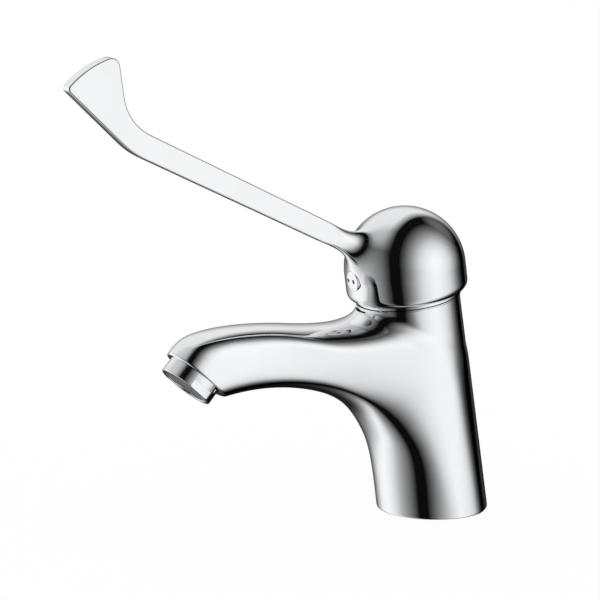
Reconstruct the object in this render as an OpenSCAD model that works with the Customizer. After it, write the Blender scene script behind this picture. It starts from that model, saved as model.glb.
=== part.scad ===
// Elbow lever basin mixer: a chromed cast body with a forward-leaning column and an arched
// spout, a ceramic-disc cartridge, and a domed handle with a long flat elbow lever.
// Millimetres. Z is up, the spout points to -Y and the cold side is +X. The origin is the
// centre of the foot on the deck. Names ending in _h are heights along the leaning axis.

/* [Body] */
// Diameter of the column at the foot
base_d = 48; // [47:0.5:54]
// Diameter of the column at the rim
top_d = 45.2; // [44.6:0.2:48]
// Height of the rim along the leaning axis
rim_h = 95.9; // [94:0.1:106]
// Forward lean of the column, degrees
lean = 7.9; // [5:0.1:9]

/* [Spout] */
// Distance from the foot's centre forward to the centre of the outlet
spout_reach = 118.7; // [112:0.1:126]
// Distance from the foot's centre forward to the centre of the arch
arch_y = 80; // [77:0.5:83]
// Radius of the arch under the spout
arch_r = 62.4; // [59:0.2:66]
// Height of the spout's crest over the arch
spout_depth = 29.6; // [28:0.1:32]
// Width of the spout behind its outlet
spout_w = 27.2; // [25:0.2:29]
// Rise of the top band's middle over its edges
crown_rise = 3.1; // [1:0.1:4]
// Tilt of the outlet's axis from straight down towards the front, degrees
outlet_tilt = 42.5; // [38:0.5:47]
// Diameter of the outlet's lip
lip_d = 28.4; // [28:0.1:30]
// Blend between the spout's top and the column, under the rim
neck_blend = 24; // [16:0.5:28]

/* [Outlet] */
// Diameter of the aerator sleeve
aerator_d = 23.8; // [22:0.1:24.2]
// Length of the sleeve below the lip
aerator_out = 6.4; // [5:0.1:9]
// Length of the sleeve inside the spout
aerator_in = 7; // [6:0.5:9]
// Wall of the sleeve
aerator_wall = 1.7; // [1.2:0.1:2.4]
// Depth of each spanner flat
flat_depth = 1; // [0.5:0.1:1.4]

/* [Cartridge] */
// Diameter of the cartridge
cartridge_d = 35; // [34:0.1:35.4]
// Diameter of the cartridge's neck
neck_d = 30.8; // [30:0.1:32]
// Diameter of the turning collar
rotor_d = 26.2; // [25:0.1:27]
// Diameter of the retaining nut's thread
nut_d = 41; // [40:0.1:41.4]
// Thickness of each ceramic disc
disc_t = 4; // [3:0.1:5]
// Side of the square stem
stem_w = 8; // [7:0.1:8.6]
// Distance from the lift pivot down to the stem's tail
tail_len = 9; // [8.5:0.1:10]
// Travel of the lever from closed to fully open, degrees
lift = 25; // [15:1:26]

/* [Handle] */
// Thickness of the dome's wall
dome_wall = 2.9; // [2.2:0.1:4]
// Clear gap between the dome's skirt and the column
skirt_gap = 0.6; // [0.6:0.05:1.2]
// Height of the dome's widest line over the rim
equator_rise = 13.1; // [12:0.1:16]
// Angle of the lever over the rim's plane, degrees
lever_rise = 35; // [28:0.5:42]
// Distance from the dome's centre to the apex of the fan
lever_len = 146.2; // [100:0.5:180]
// Height of the lever's stem at the dome
stem_root = 8.6; // [7:0.1:10]
// Height of the lever's stem at the fan
stem_end = 10.1; // [8:0.1:12]
// Thickness of the blade
blade_t = 6; // [5:0.1:8]
// Radius of the fan
fan_r = 40.5; // [32:0.5:50]
// Angle of the fan's lower edge to the lever, degrees
fan_low = 17; // [10:0.5:24]
// Angle of the fan's upper edge to the lever, degrees
fan_high = 55; // [45:0.5:65]

/* [Fixing] */
// Diameter of each hose inlet, for an M10 thread
inlet_d = 9; // [8.6:0.1:10]
// Depth of each hose inlet's thread
inlet_len = 12; // [10:0.5:16]
// Distance of each hose inlet from the middle
inlet_x = 8.5; // [8:0.1:9.5]
// Diameter of the stud hole, for an M8 thread
stud_d = 6.8; // [6:0.1:8]
// Depth of the stud hole
stud_len = 20; // [14:0.5:26]

/* [Hidden] */
$fn = 96;

// Colours of the finishes
chrome = [0.80, 0.81, 0.83];
brass = [0.72, 0.58, 0.30];
steel = [0.62, 0.63, 0.65];
rubber = [0.10, 0.10, 0.11];
pale_plastic = [0.90, 0.90, 0.88];
grey_plastic = [0.32, 0.33, 0.35];
ceramic = [0.95, 0.93, 0.90];

// Clearances
slip = 0.1;        // between two pieces that slide or screw together
run = 0.05;        // round a pin that turns
film = 0.05;       // between the ceramic discs
over = 1;          // how far a cut runs past the face that it opens

// Body
base_r = base_d/2;
top_r = top_d/2;
taper = (base_r - top_r)/rim_h;
overrun = 16;                                // spare column above the rim, cut off square
lip_r = lip_d/2;
lip_rise = 10.9;                             // lip's centre over the arch's crown
crown_drop = 33.5;                           // the arch's crown under the height of the rim
crown_z = rim_h - crown_drop;
arch_z = crown_z - arch_r;                   // the arch's centre over the deck
lip = [0, -spout_reach, crown_z + lip_rise];
crest_back = 12.7;                           // the crest stands a little behind the outlet
crest_y = lip.y + crest_back;
crest_z = crown_z + spout_depth;
core_rise = 17.6;                            // middle of the spout over the arch's crown
crest_fall = 0.0022;                         // fall of the top towards the column
nose_len = 34;                               // half axes of the ellipse that ends the top band
nose_drop = 20;
band_half = 11.5;                            // half width of the top band
crown = crown_rise/(band_half*band_half);
root_w = base_r - 0.8;                       // half width of the spout where it leaves the column
root_phi = 35;                               // the spout narrows between these arch angles
tip_phi = 100;
belly = 15;                                  // half heights of the spout's lower and upper halves
belly_root = 34;
brow = 15.2;
brow_root = 14;
belly_phi = 40;                              // the halves change between these angles and the tip's
brow_phi = 60;
neck_from = 36;                              // the neck's blend grows between these depths
neck_to = 11;
rim_cut = 20;                                // reach of the cut that squares off the rim
rise_phi = 75;                               // from here the underside flattens towards the lip
lip_phi = atan2(lip.z - lip_r*sin(outlet_tilt) - arch_z,
                lip.y + lip_r*cos(outlet_tilt) + arch_y);
tip_rise = 6.6;
dive_phi = 42;                               // below here the underside dives into the column
dive = 24;
ridge_blend = 2;
nose_blend = 3;
flank_blend = 4;
arch_blend = 9;
spokes = 36;
slices = concat([for (a = [0:3:36]) a], [for (a = [38:1.6:72]) a], [for (a = [73.5:2.6:124]) a]);

// Outlet
aerator_r = aerator_d/2;
aerator_bore = aerator_r + slip;
washer_t = 1.5;
throat_r = 7;
throat_len = aerator_in + washer_t + 4.5;
passage_r = 5.5;
passage_rise = 1.5;                          // the passage starts over the well's bottom
passage_end = [0, 6, 8];                     // and ends behind the lip's centre
well_depth = 7;
flat_len = 3.4;
insert_back = 1;                             // the mesh stands back from the sleeve's end

// Cartridge, from the chamber's floor up
base_t = 4;
spigot_t = 2;
seal_proud = 0.2;
seal_t = 1.4;
carrier_t = 3.95;
carrier_gap = 0.4;
flange_t = 2;
cart_r = cartridge_d/2;
cart_bore = cart_r + 0.15;
cavity_r = cart_r - 2.4;
rotor_r = rotor_d/2;
neck_r = neck_d/2;
nut_r = nut_d/2;
block_l = 8;                                 // length of the carrier's block along its slide
ball_r = 2.5;
disc_low = base_t + spigot_t + seal_proud;
disc_mid = disc_low + disc_t + film;
carrier_low = disc_mid + disc_t;
rotor_low = carrier_low + carrier_t + carrier_gap;
ball_rise = 1.65;                            // stem's ball over the collar's lower face
ball_up = rotor_low + ball_rise;
pivot_up = ball_up + tail_len*cos(lift/2);
pivot_drop = 4.9;                            // lift pivot under the rim
floor_h = rim_h - pivot_drop - pivot_up;
pivot_h = rim_h - pivot_drop;
shoulder_drop = 10.9;                        // shoulder that the nut holds, under the rim
neck_h = rim_h - shoulder_drop;
housing_drop = 0.9;
housing_h = rim_h - housing_drop;
rotor_drop = 0.5;
rotor_top = rim_h - rotor_drop;
port = [7.5, 4];                             // inlet ports of the discs
port_r = 3.2;
outlet = [0, -9];                            // outlet port of the discs
outlet_r = 4;
fixed_r = cavity_r - slip;
moving_r = 11.2;
pin_r = 2;
hub_r = 5.2;
nut_washer_t = 0.6;
nut_t = 5.4;
hex_t = 4;
limiter_t = 2;
limiter_w = 1.9;                             // width of the limiter's ring round the rotor
limiter_gap = 0.4;
lug_w = 8;
lug_t = 1.3;
lug_reach = 3.4;
lug_root = 0.5;

// Shroud, round about the lift pivot
shroud_r = top_r - 0.2;
shroud_t = 1.5;
shroud_rise = 11;                            // flat top of the shroud over the lift pivot
shroud_top = pivot_h + shroud_rise;
shroud_hole = 11;
spigot_r = nut_r;
spigot_wall = 1.4;
spigot_in = nut_r - spigot_wall;
hex_gap = 0.3;                               // the spigot passes over the nut's hexagon
hex_r = spigot_in - hex_gap;
o_ring_r = 0.7;
o_ring_h = rim_h - 2.4;

// Handle
skirt_r = top_r + skirt_gap;
dome_r = skirt_r + dome_wall;
skirt_h = rim_h + 0.6;
equator_h = rim_h + equator_rise;
edge_round = 4;
rest_tilt = lift/2;                          // the stem leans forward when closed, back when open
boss_r = 8;
boss_low = 14.5;                             // boss and stem, measured from the lift pivot
stem_top = 27;
screw_r = 3;
screw_len = 8;
bridge_r = 5.5;
button_r = 4.35;
button_proud = 0.8;
button_seat = 2.5;
dot_r = 0.9;
dot_t = 0.3;
dot_x = [-3.0, 1.0];                         // red and blue dots across the plug
lever_drop = 1.35;                           // the lever's middle passes under the dome's centre
blade_edge = 0.8;                            // rounding of the blade's long edges
inside_blend = 13;                           // curve between the stem's top and the fan
bend_blend = 1.8;                            // bend of the lower edge
corner_blend = 5;                            // upper corner of the fan
root_fillet = 6;
root_steps = [-0.9, -0.2, 0.7, 1.8, 3.1, 4.5, 7, 10];    // the root's sections over the dome
root_round = [1, 9];                         // the root's section squares up between these
fan_back = 14;                               // the fan's sections start before its apex
tip_short = 0.3;                             // and the last one stands inside its arc

// Fixing
inlet_y = -6;
stud_y = 10;
channel_r = 3.5;
gasket_in = 18.6;
gasket_w = 3;
gasket_t = 2;

function clamp(x, a, b) = max(a, min(b, x));
function mix(a, b, t) = a + (b - a)*t;
function ease(a, b, x) = let(t = clamp((x - a)/(b - a), 0, 1)) t*t*(3 - 2*t);
function blend_min(a, b, k) = let(e = max(k - abs(a - b), 0)) min(a, b) - e*e/(4*k);
function blend_max(a, b, k) = -blend_min(-a, -b, k);
function unit(v) = v/norm(v);

// A point of the leaning frame in the part's frame
function leaned_point(p) = [p.x, p.y*cos(lean) - p.z*sin(lean), p.y*sin(lean) + p.z*cos(lean)];

// Distance from the arch's axis to the column's axis, along the arch angle phi
function axis_reach(phi) =
    let(a = min(phi, 88))
    (arch_y - tan(lean)*arch_z)/max(cos(a) + tan(lean)*sin(a), 0.05);

// Distance from the arch's axis to the underside, along the arch angle phi
function underside(phi) =
    let(lift_off = tip_rise*pow(clamp((phi - rise_phi)/(lip_phi - rise_phi), 0, 3), 1.6),
        sink = dive*pow(clamp((dive_phi - phi)/dive_phi, 0, 2), 1.5))
    min(arch_r + lift_off + sink, axis_reach(phi) - 8);

// Height of the top band's middle line at y
function top_line(y) =
    let(d = crest_y - y)
    crest_z - (d < 0 ? crest_fall*d*d : nose_drop*(1 - sqrt(max(1 - pow(d/nose_len, 2), 0))));

// Signed distance to the spout: an oval tube bent round the arch, closed by the half-round
// nose over the outlet and trimmed by the crowned top band
function spout_field(p) =
    let(dy = p.y + arch_y,
        dz = p.z - arch_z,
        phi = atan2(dz, dy),
        inner = underside(phi),
        near = 1 - ease(root_phi, tip_phi, phi),
        w = mix(spout_w/2, root_w, near),
        low = blend_min(mix(belly, belly_root, 1 - ease(belly_phi, tip_phi, phi)),
                        max(axis_reach(phi) - inner, 4), 6),
        high = mix(brow, brow_root, 1 - ease(brow_phi, tip_phi, phi)),
        n = norm([dy, dz]) - inner - low,
        half = n < 0 ? low : high,
        tube = (norm([p.x/w, n/half]) - 1)*min(w, half),
        m = (p.y - lip.y)*cos(outlet_tilt) - (p.z - lip.z)*sin(outlet_tilt),
        nose = norm([p.x, min(m, 0)]) - lip_r,
        band = p.z - top_line(p.y) + crown*p.x*p.x)
    blend_max(blend_max(tube, nose, nose_blend), band, ridge_blend);

// Signed distance to the outside of the body: the leaning column blended with the spout
function body_field(p) =
    let(h = p.z*cos(lean) - p.y*sin(lean),
        across = p.y*cos(lean) + p.z*sin(lean),
        q = norm([p.x, across]),
        column = max(q - base_r + taper*h, h - rim_h - overrun),
        front = clamp(-across/max(q, 0.001), 0, 1),
        upper = ease(rim_h - neck_from, rim_h - neck_to, h),
        k = flank_blend + pow(front, 1.5)*mix(arch_blend, neck_blend, upper))
    blend_min(column, spout_field(p), k);

// Walk from o along d to the body's surface
function reach(o, d, t, steps) =
    let(f = body_field(o + t*d))
    steps == 0 || abs(f) < 0.005 ? t : reach(o, d, t - 0.8*f, steps - 1);

// Skin between rings of equal length, closed by flat ends
module skin(rings) {
    n = len(rings[0]);
    last = len(rings) - 1;
    points = [for (ring = rings) each ring];
    sides = [for (i = [0:last - 1], j = [0:n - 1]) let(k = (j + 1) % n)
        each [[i*n + j, i*n + k, (i + 1)*n + k], [i*n + j, (i + 1)*n + k, (i + 1)*n + j]]];
    ends = [[for (j = [n - 1:-1:0]) j], [for (j = [0:n - 1]) last*n + j]];
    polyhedron(points, concat(sides, ends));
}

module leaned() { rotate([lean, 0, 0]) children(); }

// A cylinder from p to q, with its seam turned away from the planes of symmetry
module rod(p, q, r) {
    d = q - p;
    translate(p)
        rotate([0, acos(d.z/norm(d)), atan2(d.y, d.x)])
            rotate([0, 0, 50]) cylinder(r = r, h = norm(d));
}

// Children on the outlet's axis, with +Z pointing out of the spout
module at_outlet() { translate(lip) rotate([180 - outlet_tilt, 0, 0]) children(); }

// Children on the lift pivot, with +Z along the stem at rest
module at_stem() { leaned() translate([0, 0, pivot_h]) rotate([rest_tilt, 0, 0]) children(); }

// Children on the dome's front, with +Z pointing out of the dome
module at_front() { leaned() translate([0, 0, equator_h]) rotate([90, 0, 0]) children(); }

// A tube standing on z
module tube(r_out, r_in, z, t) {
    translate([0, 0, z])
        difference() {
            cylinder(r = r_out, h = t);
            translate([0, 0, -over]) cylinder(r = r_in, h = t + 2*over);
        }
}

// One cylinder on each of the three ports
module ports(r_inlet, r_outlet, z, t) {
    for (side = [-1, 1])
        translate([side*port.x, port.y, z]) cylinder(r = r_inlet, h = t);
    translate([outlet.x, outlet.y, z]) cylinder(r = r_outlet, h = t);
}

module body_skin() {
    ex = [1, 0, 0];
    rings = [for (phi = slices)
        let(er = [0, cos(phi), sin(phi)],
            core = mix(arch_y, crown_z + core_rise, ease(0, brow_phi, phi)),
            o = [0, -arch_y, 0] + core*er)
        [for (j = [0:spokes - 1])
            let(psi = 360*j/spokes, d = cos(psi)*er + sin(psi)*ex)
            o + reach(o, d, 0, 90)*d]];
    skin(rings);
}

module mixer_body() color(chrome) difference() {
    body_skin();
    // Rim and lip, cut flat
    leaned() translate([0, 0, rim_h]) cylinder(r = top_r + rim_cut, h = overrun + rim_cut);
    at_outlet() cylinder(r = 2*lip_r, h = 3*lip_r);
    // Chamber for the cartridge and thread for the nut
    leaned() translate([0, 0, floor_h]) cylinder(r = cart_bore, h = rim_h);
    leaned() translate([0, 0, neck_h]) cylinder(r = nut_r + slip, h = rim_h);
    // Outlet well, spout passage and aerator thread
    well = [outlet.x, outlet.y, floor_h - well_depth];
    rod(leaned_point(well), leaned_point(well + [0, 0, well_depth + over]), outlet_r);
    rod(leaned_point(well + [0, 0, passage_rise]), lip + passage_end, passage_r);
    at_outlet() translate([0, 0, -aerator_in - washer_t])
        cylinder(r = aerator_bore, h = aerator_in + washer_t + over);
    at_outlet() translate([0, 0, -throat_len]) cylinder(r = throat_r, h = throat_len);
    // Hose inlets with their channels, and the stud hole
    for (side = [-1, 1]) {
        translate([side*inlet_x, inlet_y, -over]) cylinder(d = inlet_d, h = inlet_len + over);
        rod([side*inlet_x, inlet_y, inlet_len - over],
            leaned_point([side*port.x, port.y, floor_h + over]), channel_r);
    }
    translate([0, stud_y, -over]) cylinder(d = stud_d, h = stud_len + over);
    tube(gasket_in + gasket_w, gasket_in, -over, gasket_t + over);
}

module base_gasket() color(rubber)
    tube(gasket_in + gasket_w - slip, gasket_in + slip, 0, gasket_t);

module aerator_housing() color(chrome) at_outlet() difference() {
    translate([0, 0, -aerator_in]) cylinder(r = aerator_r, h = aerator_in + aerator_out);
    translate([0, 0, -aerator_in - over])
        cylinder(r = aerator_r - aerator_wall, h = aerator_in + aerator_out + 2*over);
    for (side = [0, 180])
        rotate([0, 0, side])
            translate([aerator_r - flat_depth, -aerator_r, aerator_out - flat_len])
                cube([aerator_r, 2*aerator_r, flat_len + over]);
}

module aerator_insert() color(grey_plastic) at_outlet() {
    insert_r = aerator_r - aerator_wall - slip;
    hole_step = 2.4;
    hole_r = 0.8;
    rows = floor((insert_r - 1.5)/hole_step);
    difference() {
        translate([0, 0, -aerator_in])
            cylinder(r = insert_r, h = aerator_in + aerator_out - insert_back);
        translate([0, 0, -aerator_in - over])
            cylinder(r = insert_r - 1.5, h = aerator_in + aerator_out - insert_back - 2 + over);
        for (i = [-rows:rows], j = [-rows:rows])
            if (norm([i, j])*hole_step < insert_r - 1.5 - hole_r)
                translate([i*hole_step, j*hole_step, 0])
                    cylinder(r = hole_r, h = aerator_out + over, $fn = 16);
    }
}

module aerator_washer() color(rubber) at_outlet()
    tube(aerator_r - slip, throat_r + 0.5, -aerator_in - washer_t, washer_t);

module cartridge_base() color(pale_plastic) leaned() translate([0, 0, floor_h]) difference() {
    union() {
        cylinder(r = cart_r, h = base_t);
        cylinder(r = cavity_r - slip, h = base_t + spigot_t);
    }
    translate([0, 0, -over]) ports(port_r, outlet_r, 0, base_t + spigot_t + 2*over);
    translate([0, 0, -over]) ports(port_r + 1.2, outlet_r + 1.2, 0, seal_t + over);
    ports(port_r + 1.2, outlet_r + 1.2, base_t + spigot_t - seal_t + seal_proud, seal_t);
}

// Three flat rings round the ports
module port_rings(z) {
    difference() {
        ports(port_r + 1.1, outlet_r + 1.1, z, seal_t);
        ports(port_r, outlet_r, z - over, seal_t + 2*over);
    }
}

module inlet_seals() color(rubber) leaned() port_rings(floor_h);

module port_seals() color(rubber) leaned() port_rings(floor_h + disc_low - seal_t);

module fixed_disc() color(ceramic) leaned() translate([0, 0, floor_h + disc_low]) difference() {
    cylinder(r = fixed_r, h = disc_t);
    ports(port_r, outlet_r, -over, disc_t + 2*over);
}

// Middle of the slider's travel, in front of its place when closed
slider_y = tail_len*sin(rest_tilt);

module moving_disc() color(ceramic) leaned()
    translate([0, slider_y, floor_h + disc_mid]) difference() {
        cylinder(r = moving_r, h = disc_t);
        translate([0, 0, -over]) cylinder(r = moving_r - 3.6, h = disc_t/2 + over);
    }

module disc_carrier() color(grey_plastic) leaned()
    translate([0, slider_y, floor_h + carrier_low]) difference() {
        union() {
            cylinder(r = moving_r, h = carrier_t);
            translate([-stem_w/2, -block_l/2, 0])
                cube([stem_w, block_l, carrier_t + carrier_gap + 4]);
        }
        translate([0, 0, ball_up - carrier_low])
            rotate([0, 90, 0])
                cylinder(r = ball_r + 0.3, h = stem_w + 2*over, center = true);
        translate([-stem_w, -ball_r - 0.3, ball_up - carrier_low])
            cube([2*stem_w, 2*ball_r + 0.6, tail_len]);
    }

module cartridge_housing() color(pale_plastic) leaned() difference() {
    union() {
        translate([0, 0, floor_h + base_t]) cylinder(r = cart_r, h = neck_h - floor_h - base_t);
        translate([0, 0, floor_h + base_t]) cylinder(r = neck_r, h = housing_h - floor_h - base_t);
    }
    translate([0, 0, floor_h]) cylinder(r = cavity_r, h = rotor_low + flange_t + slip);
    translate([0, 0, floor_h]) cylinder(r = rotor_r + slip, h = rim_h);
}

module cartridge_rotor() color(grey_plastic) leaned() difference() {
    union() {
        translate([0, 0, floor_h + rotor_low])
            cylinder(r = rotor_r, h = rotor_top - floor_h - rotor_low);
        translate([0, 0, floor_h + rotor_low]) cylinder(r = cavity_r - 0.2, h = flange_t);
    }
    slot_l = block_l + 2*slider_y + 1;
    translate([-stem_w/2 - 0.15, -slot_l/2, floor_h])
        cube([stem_w + 0.3, slot_l, rim_h]);
    translate([0, 0, pivot_h]) rotate([0, 90, 0])
        cylinder(r = pin_r, h = 2*rotor_r + 2*over, center = true);
}

module stem_pin() color(steel) leaned() translate([0, 0, pivot_h]) rotate([0, 90, 0])
    cylinder(r = pin_r, h = 2*rotor_r - 0.4, center = true);

module lever_stem() color(steel) at_stem() difference() {
    union() {
        translate([-stem_w/2, -stem_w/2, 0]) cube([stem_w, stem_w, stem_top]);
        rotate([0, 90, 0]) cylinder(r = hub_r, h = stem_w, center = true);
        translate([-stem_w/2, -ball_r*0.7, -tail_len]) cube([stem_w, ball_r*1.4, tail_len]);
        translate([0, 0, -tail_len]) rotate([0, 90, 0])
            cylinder(r = ball_r, h = stem_w, center = true);
    }
    rotate([0, 90, 0]) cylinder(r = pin_r + run, h = stem_w + 2*over, center = true);
}

module temperature_limiter() color("firebrick") leaned() translate([0, 0, housing_h]) {
    ring_in = rotor_r + limiter_gap;
    tube(ring_in + limiter_w, ring_in, 0, limiter_t);
    // Stop lug over the rotor's rear edge
    intersection() {
        tube(ring_in + lug_root, ring_in - lug_reach, limiter_t - lug_t, lug_t);
        translate([-lug_w/2, 0, 0]) cube([lug_w, ring_in + limiter_w, limiter_t]);
    }
}

module nut_washer() color(steel) leaned()
    tube(cart_r - slip, neck_r + slip, neck_h, nut_washer_t);

module retaining_nut() color(brass) leaned() translate([0, 0, neck_h + nut_washer_t]) difference() {
    union() {
        cylinder(r = nut_r, h = nut_t);
        cylinder(r = hex_r, h = nut_t + hex_t, $fn = 6);
    }
    translate([0, 0, -over]) cylinder(r = neck_r + 2*slip, h = nut_t + hex_t + 2*over);
}

module shroud() color(chrome) leaned() rotate_extrude() difference() {
    union() {
        intersection() {
            translate([0, pivot_h]) circle(r = shroud_r, $fn = 192);
            translate([0, rim_h]) square([shroud_r, shroud_top - rim_h]);
        }
        translate([0, spigot_low]) square([spigot_r, rim_h - spigot_low + 0.5]);
    }
    intersection() {
        translate([0, pivot_h]) circle(r = shroud_r - shroud_t, $fn = 192);
        square([shroud_r, shroud_top - shroud_t]);
        translate([0, rim_h + 1]) square([shroud_r, shroud_r]);
    }
    square([spigot_in, rim_h + 1.5]);
    square([shroud_hole, shroud_top + over]);
    translate([spigot_r, o_ring_h]) circle(r = o_ring_r + 0.05);
}
spigot_low = neck_h + nut_washer_t + nut_t + 0.2;

module shroud_o_ring() color(rubber) leaned() rotate_extrude()
    difference() {
        translate([spigot_r, o_ring_h]) circle(r = o_ring_r);
        translate([spigot_r + slip, o_ring_h - o_ring_r]) square(2*o_ring_r);
    }

// Half section of the dome, with its rounded lower edge
module dome_section(r, low, edge) {
    intersection() {
        translate([0, equator_h]) circle(r = r, $fn = 192);
        translate([0, equator_h]) square(r);
    }
    translate([0, low + edge]) square([r, equator_h - low - edge]);
    translate([0, low]) square([r - edge, edge + over]);
    if (edge > 0)
        translate([r - edge, low + edge]) circle(r = edge);
}

// Lower and upper edges of the lever at u, measured from the dome's centre along the lever
apex = [lever_len, -lever_drop - stem_end/2];
function stem_half(u) = mix(stem_root, stem_end, (u - dome_r)/(lever_len - dome_r))/2;
function lever_low(u) =
    blend_max(-lever_drop - stem_half(u), apex.y + (u - apex.x)*tan(fan_low), bend_blend);
function lever_high(u) =
    let(rear = apex.y + (u - apex.x)*tan(fan_high),
        end = apex.y + sqrt(max(fan_r*fan_r - pow(max(u - apex.x, 0), 2), 0)))
    blend_min(blend_max(-lever_drop + stem_half(u), rear, inside_blend), end, corner_blend);

// Flare of the lever's root towards the dome
function flare(u) =
    let(d = clamp(dome_r + 0.73*root_fillet - u, 0, 0.88*root_fillet))
    root_fillet - sqrt(root_fillet*root_fillet - d*d);

// Rounded rectangle across the lever at u, nearly round at the root
function lever_section(u) =
    let(a = (lever_high(u) - lever_low(u))/2 + flare(u),
        b = blade_t/2 + flare(u),
        mid = (lever_high(u) + lever_low(u))/2,
        square_up = ease(root_round[0], root_round[1], u - dome_r),
        r = mix(0.95*min(a, b), min(blade_edge, 0.8*a), square_up))
    [for (i = [0:3], j = [0:4])
        let(t = 90*i + 22.5*j,
            cv = (i == 0 || i == 3 ? 1 : -1)*(a - r),
            cx = (i < 2 ? 1 : -1)*(b - r))
        [u, mid + cv + r*cos(t), -cx - r*sin(t)]];

module lever_blade() {
    fan_u = lever_len - fan_back;
    tip_u = lever_len + fan_r*cos(fan_low) - tip_short;
    root = [for (d = concat(-0.8*dome_wall, root_steps)) dome_r + d];
    stem = [for (t = [0.25, 0.5, 0.75]) mix(root[len(root) - 1], fan_u, t)];
    fan = [for (i = [0:20]) mix(fan_u, tip_u, sin(90*i/20))];
    skin([for (u = concat(root, stem, fan)) lever_section(u)]);
}

// Children in the lever's plane: x along the lever, y across it and z through the blade
module at_lever() {
    c = cos(lever_rise);
    s = sin(lever_rise);
    leaned() translate([0, 0, equator_h])
        multmatrix([[0, 0, -1, 0], [-c, s, 0, 0], [s, c, 0, 0], [0, 0, 0, 1]]) children();
}

module lever_handle() color(chrome) difference() {
    union() {
        difference() {
            leaned() rotate_extrude() dome_section(dome_r, skirt_h, edge_round);
            leaned() rotate_extrude() dome_section(skirt_r, skirt_h - over, 0);
        }
        at_lever() lever_blade();
        // Boss for the stem and bridge for the grub screw, inside the dome
        intersection() {
            leaned() translate([0, 0, equator_h]) sphere(r = dome_r - dome_wall/2);
            union() {
                at_stem() translate([0, 0, boss_low]) cylinder(r = boss_r, h = dome_r);
                at_front() cylinder(r = bridge_r, h = dome_r);
            }
        }
    }
    at_stem() translate([-stem_w/2 - run, -stem_w/2 - run, boss_low - dome_r])
        cube([stem_w + 2*run, stem_w + 2*run, stem_top + 0.5 - boss_low + dome_r]);
    at_front() cylinder(r = screw_r + run, h = dome_r + over);
    at_front() translate([0, 0, dome_r - button_seat]) cylinder(r = button_r + run, h = dome_r);
}

// Where the grub screw's tip meets the stem's front face
screw_tip = (equator_h - pivot_h)*tan(rest_tilt) + stem_w/2/cos(rest_tilt) + screw_r*tan(rest_tilt);

module grub_screw() color(steel) at_front() translate([0, 0, screw_tip]) difference() {
    cylinder(r = screw_r, h = screw_len);
    translate([0, 0, screw_len - 3]) cylinder(r = 1.5, h = 3 + over, $fn = 6);
}

module index_button() color(chrome) at_front() difference() {
    union() {
        translate([0, 0, dome_r - button_seat]) cylinder(r = button_r, h = button_seat + button_proud);
        translate([0, 0, dome_r - button_seat - 3]) cylinder(r = screw_r - slip, h = 3 + over);
    }
    for (x = dot_x)
        translate([x, 0, dome_r + button_proud - dot_t]) cylinder(r = dot_r + run, h = dot_t + over);
}

// A dot let into the plug's face
module index_dot(x) {
    at_front() translate([x, 0, dome_r + button_proud - dot_t]) cylinder(r = dot_r, h = dot_t);
}

module hot_dot() color("red") index_dot(dot_x[0]);

module cold_dot() color("blue") index_dot(dot_x[1]);

mixer_body();
base_gasket();
aerator_housing();
aerator_insert();
aerator_washer();
cartridge_base();
inlet_seals();
port_seals();
fixed_disc();
moving_disc();
disc_carrier();
cartridge_housing();
cartridge_rotor();
lever_stem();
stem_pin();
temperature_limiter();
nut_washer();
retaining_nut();
shroud();
shroud_o_ring();
lever_handle();
grub_screw();
index_button();
hot_dot();
cold_dot();
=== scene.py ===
"""Looks of the elbow lever basin mixer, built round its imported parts.

Sizes are millimetres and meshes are metres. Z is up, the spout points to -Y and the cold side
is +X. A height along the leaning column is called h.
"""

import logging
import math
from dataclasses import dataclass, field
from enum import Enum
from typing import Callable, Sequence

import bmesh
import bpy
import numpy as np
from mathutils import Matrix


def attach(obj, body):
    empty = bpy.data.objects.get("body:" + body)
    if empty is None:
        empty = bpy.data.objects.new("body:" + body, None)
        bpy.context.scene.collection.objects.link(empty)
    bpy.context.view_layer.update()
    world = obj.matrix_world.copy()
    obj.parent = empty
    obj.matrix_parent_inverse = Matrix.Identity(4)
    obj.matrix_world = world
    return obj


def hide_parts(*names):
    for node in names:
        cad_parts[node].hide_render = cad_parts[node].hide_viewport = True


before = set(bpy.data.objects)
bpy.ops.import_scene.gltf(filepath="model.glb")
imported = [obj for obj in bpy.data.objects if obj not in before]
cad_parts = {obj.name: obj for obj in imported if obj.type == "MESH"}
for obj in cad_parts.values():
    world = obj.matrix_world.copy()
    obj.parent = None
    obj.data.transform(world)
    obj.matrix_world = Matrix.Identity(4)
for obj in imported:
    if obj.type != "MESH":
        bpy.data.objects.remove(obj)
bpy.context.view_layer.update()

MM = 0.001
# Sides of turned pieces and cutters
FINE = 160
LARGE = 144
SMALL = 96
DRILL = 72
DOT = 48
# How far a cutter runs past the face that it opens
PAST = 1.0
# A direction that no drill runs along
ASIDE = (0.31, 0.95, 0.05)
log = logging.getLogger("tap")

Field = Callable[[np.ndarray], np.ndarray]
Faces = list[list[int]]


class Body(Enum):
    """The bodies that pieces ride on."""

    TAP = "tap"
    HANDLE = "handle"


class Slot(Enum):
    """The record's material slots."""

    CHROME = "chrome"
    BRASS = "brass"
    STEEL = "steel"
    RUBBER = "rubber"
    PALE_PLASTIC = "pale_plastic"
    GREY_PLASTIC = "grey_plastic"
    CERAMIC = "ceramic"
    RED = "red"
    BLUE = "blue"


class Grain(Enum):
    """How a surface was made, which sets the pattern of its roughness."""

    CLOUDED = "clouded"
    TURNED = "turned"


def ease(a: float, b: float, x: np.ndarray) -> np.ndarray:
    """Smooth step from 0 at a to 1 at b."""
    t = np.clip((x - a) / (b - a), 0.0, 1.0)
    return t * t * (3.0 - 2.0 * t)


def mix(a: np.ndarray, b: np.ndarray, t: np.ndarray) -> np.ndarray:
    """The value a share t of the way from a to b."""
    return a + (b - a) * t


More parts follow.
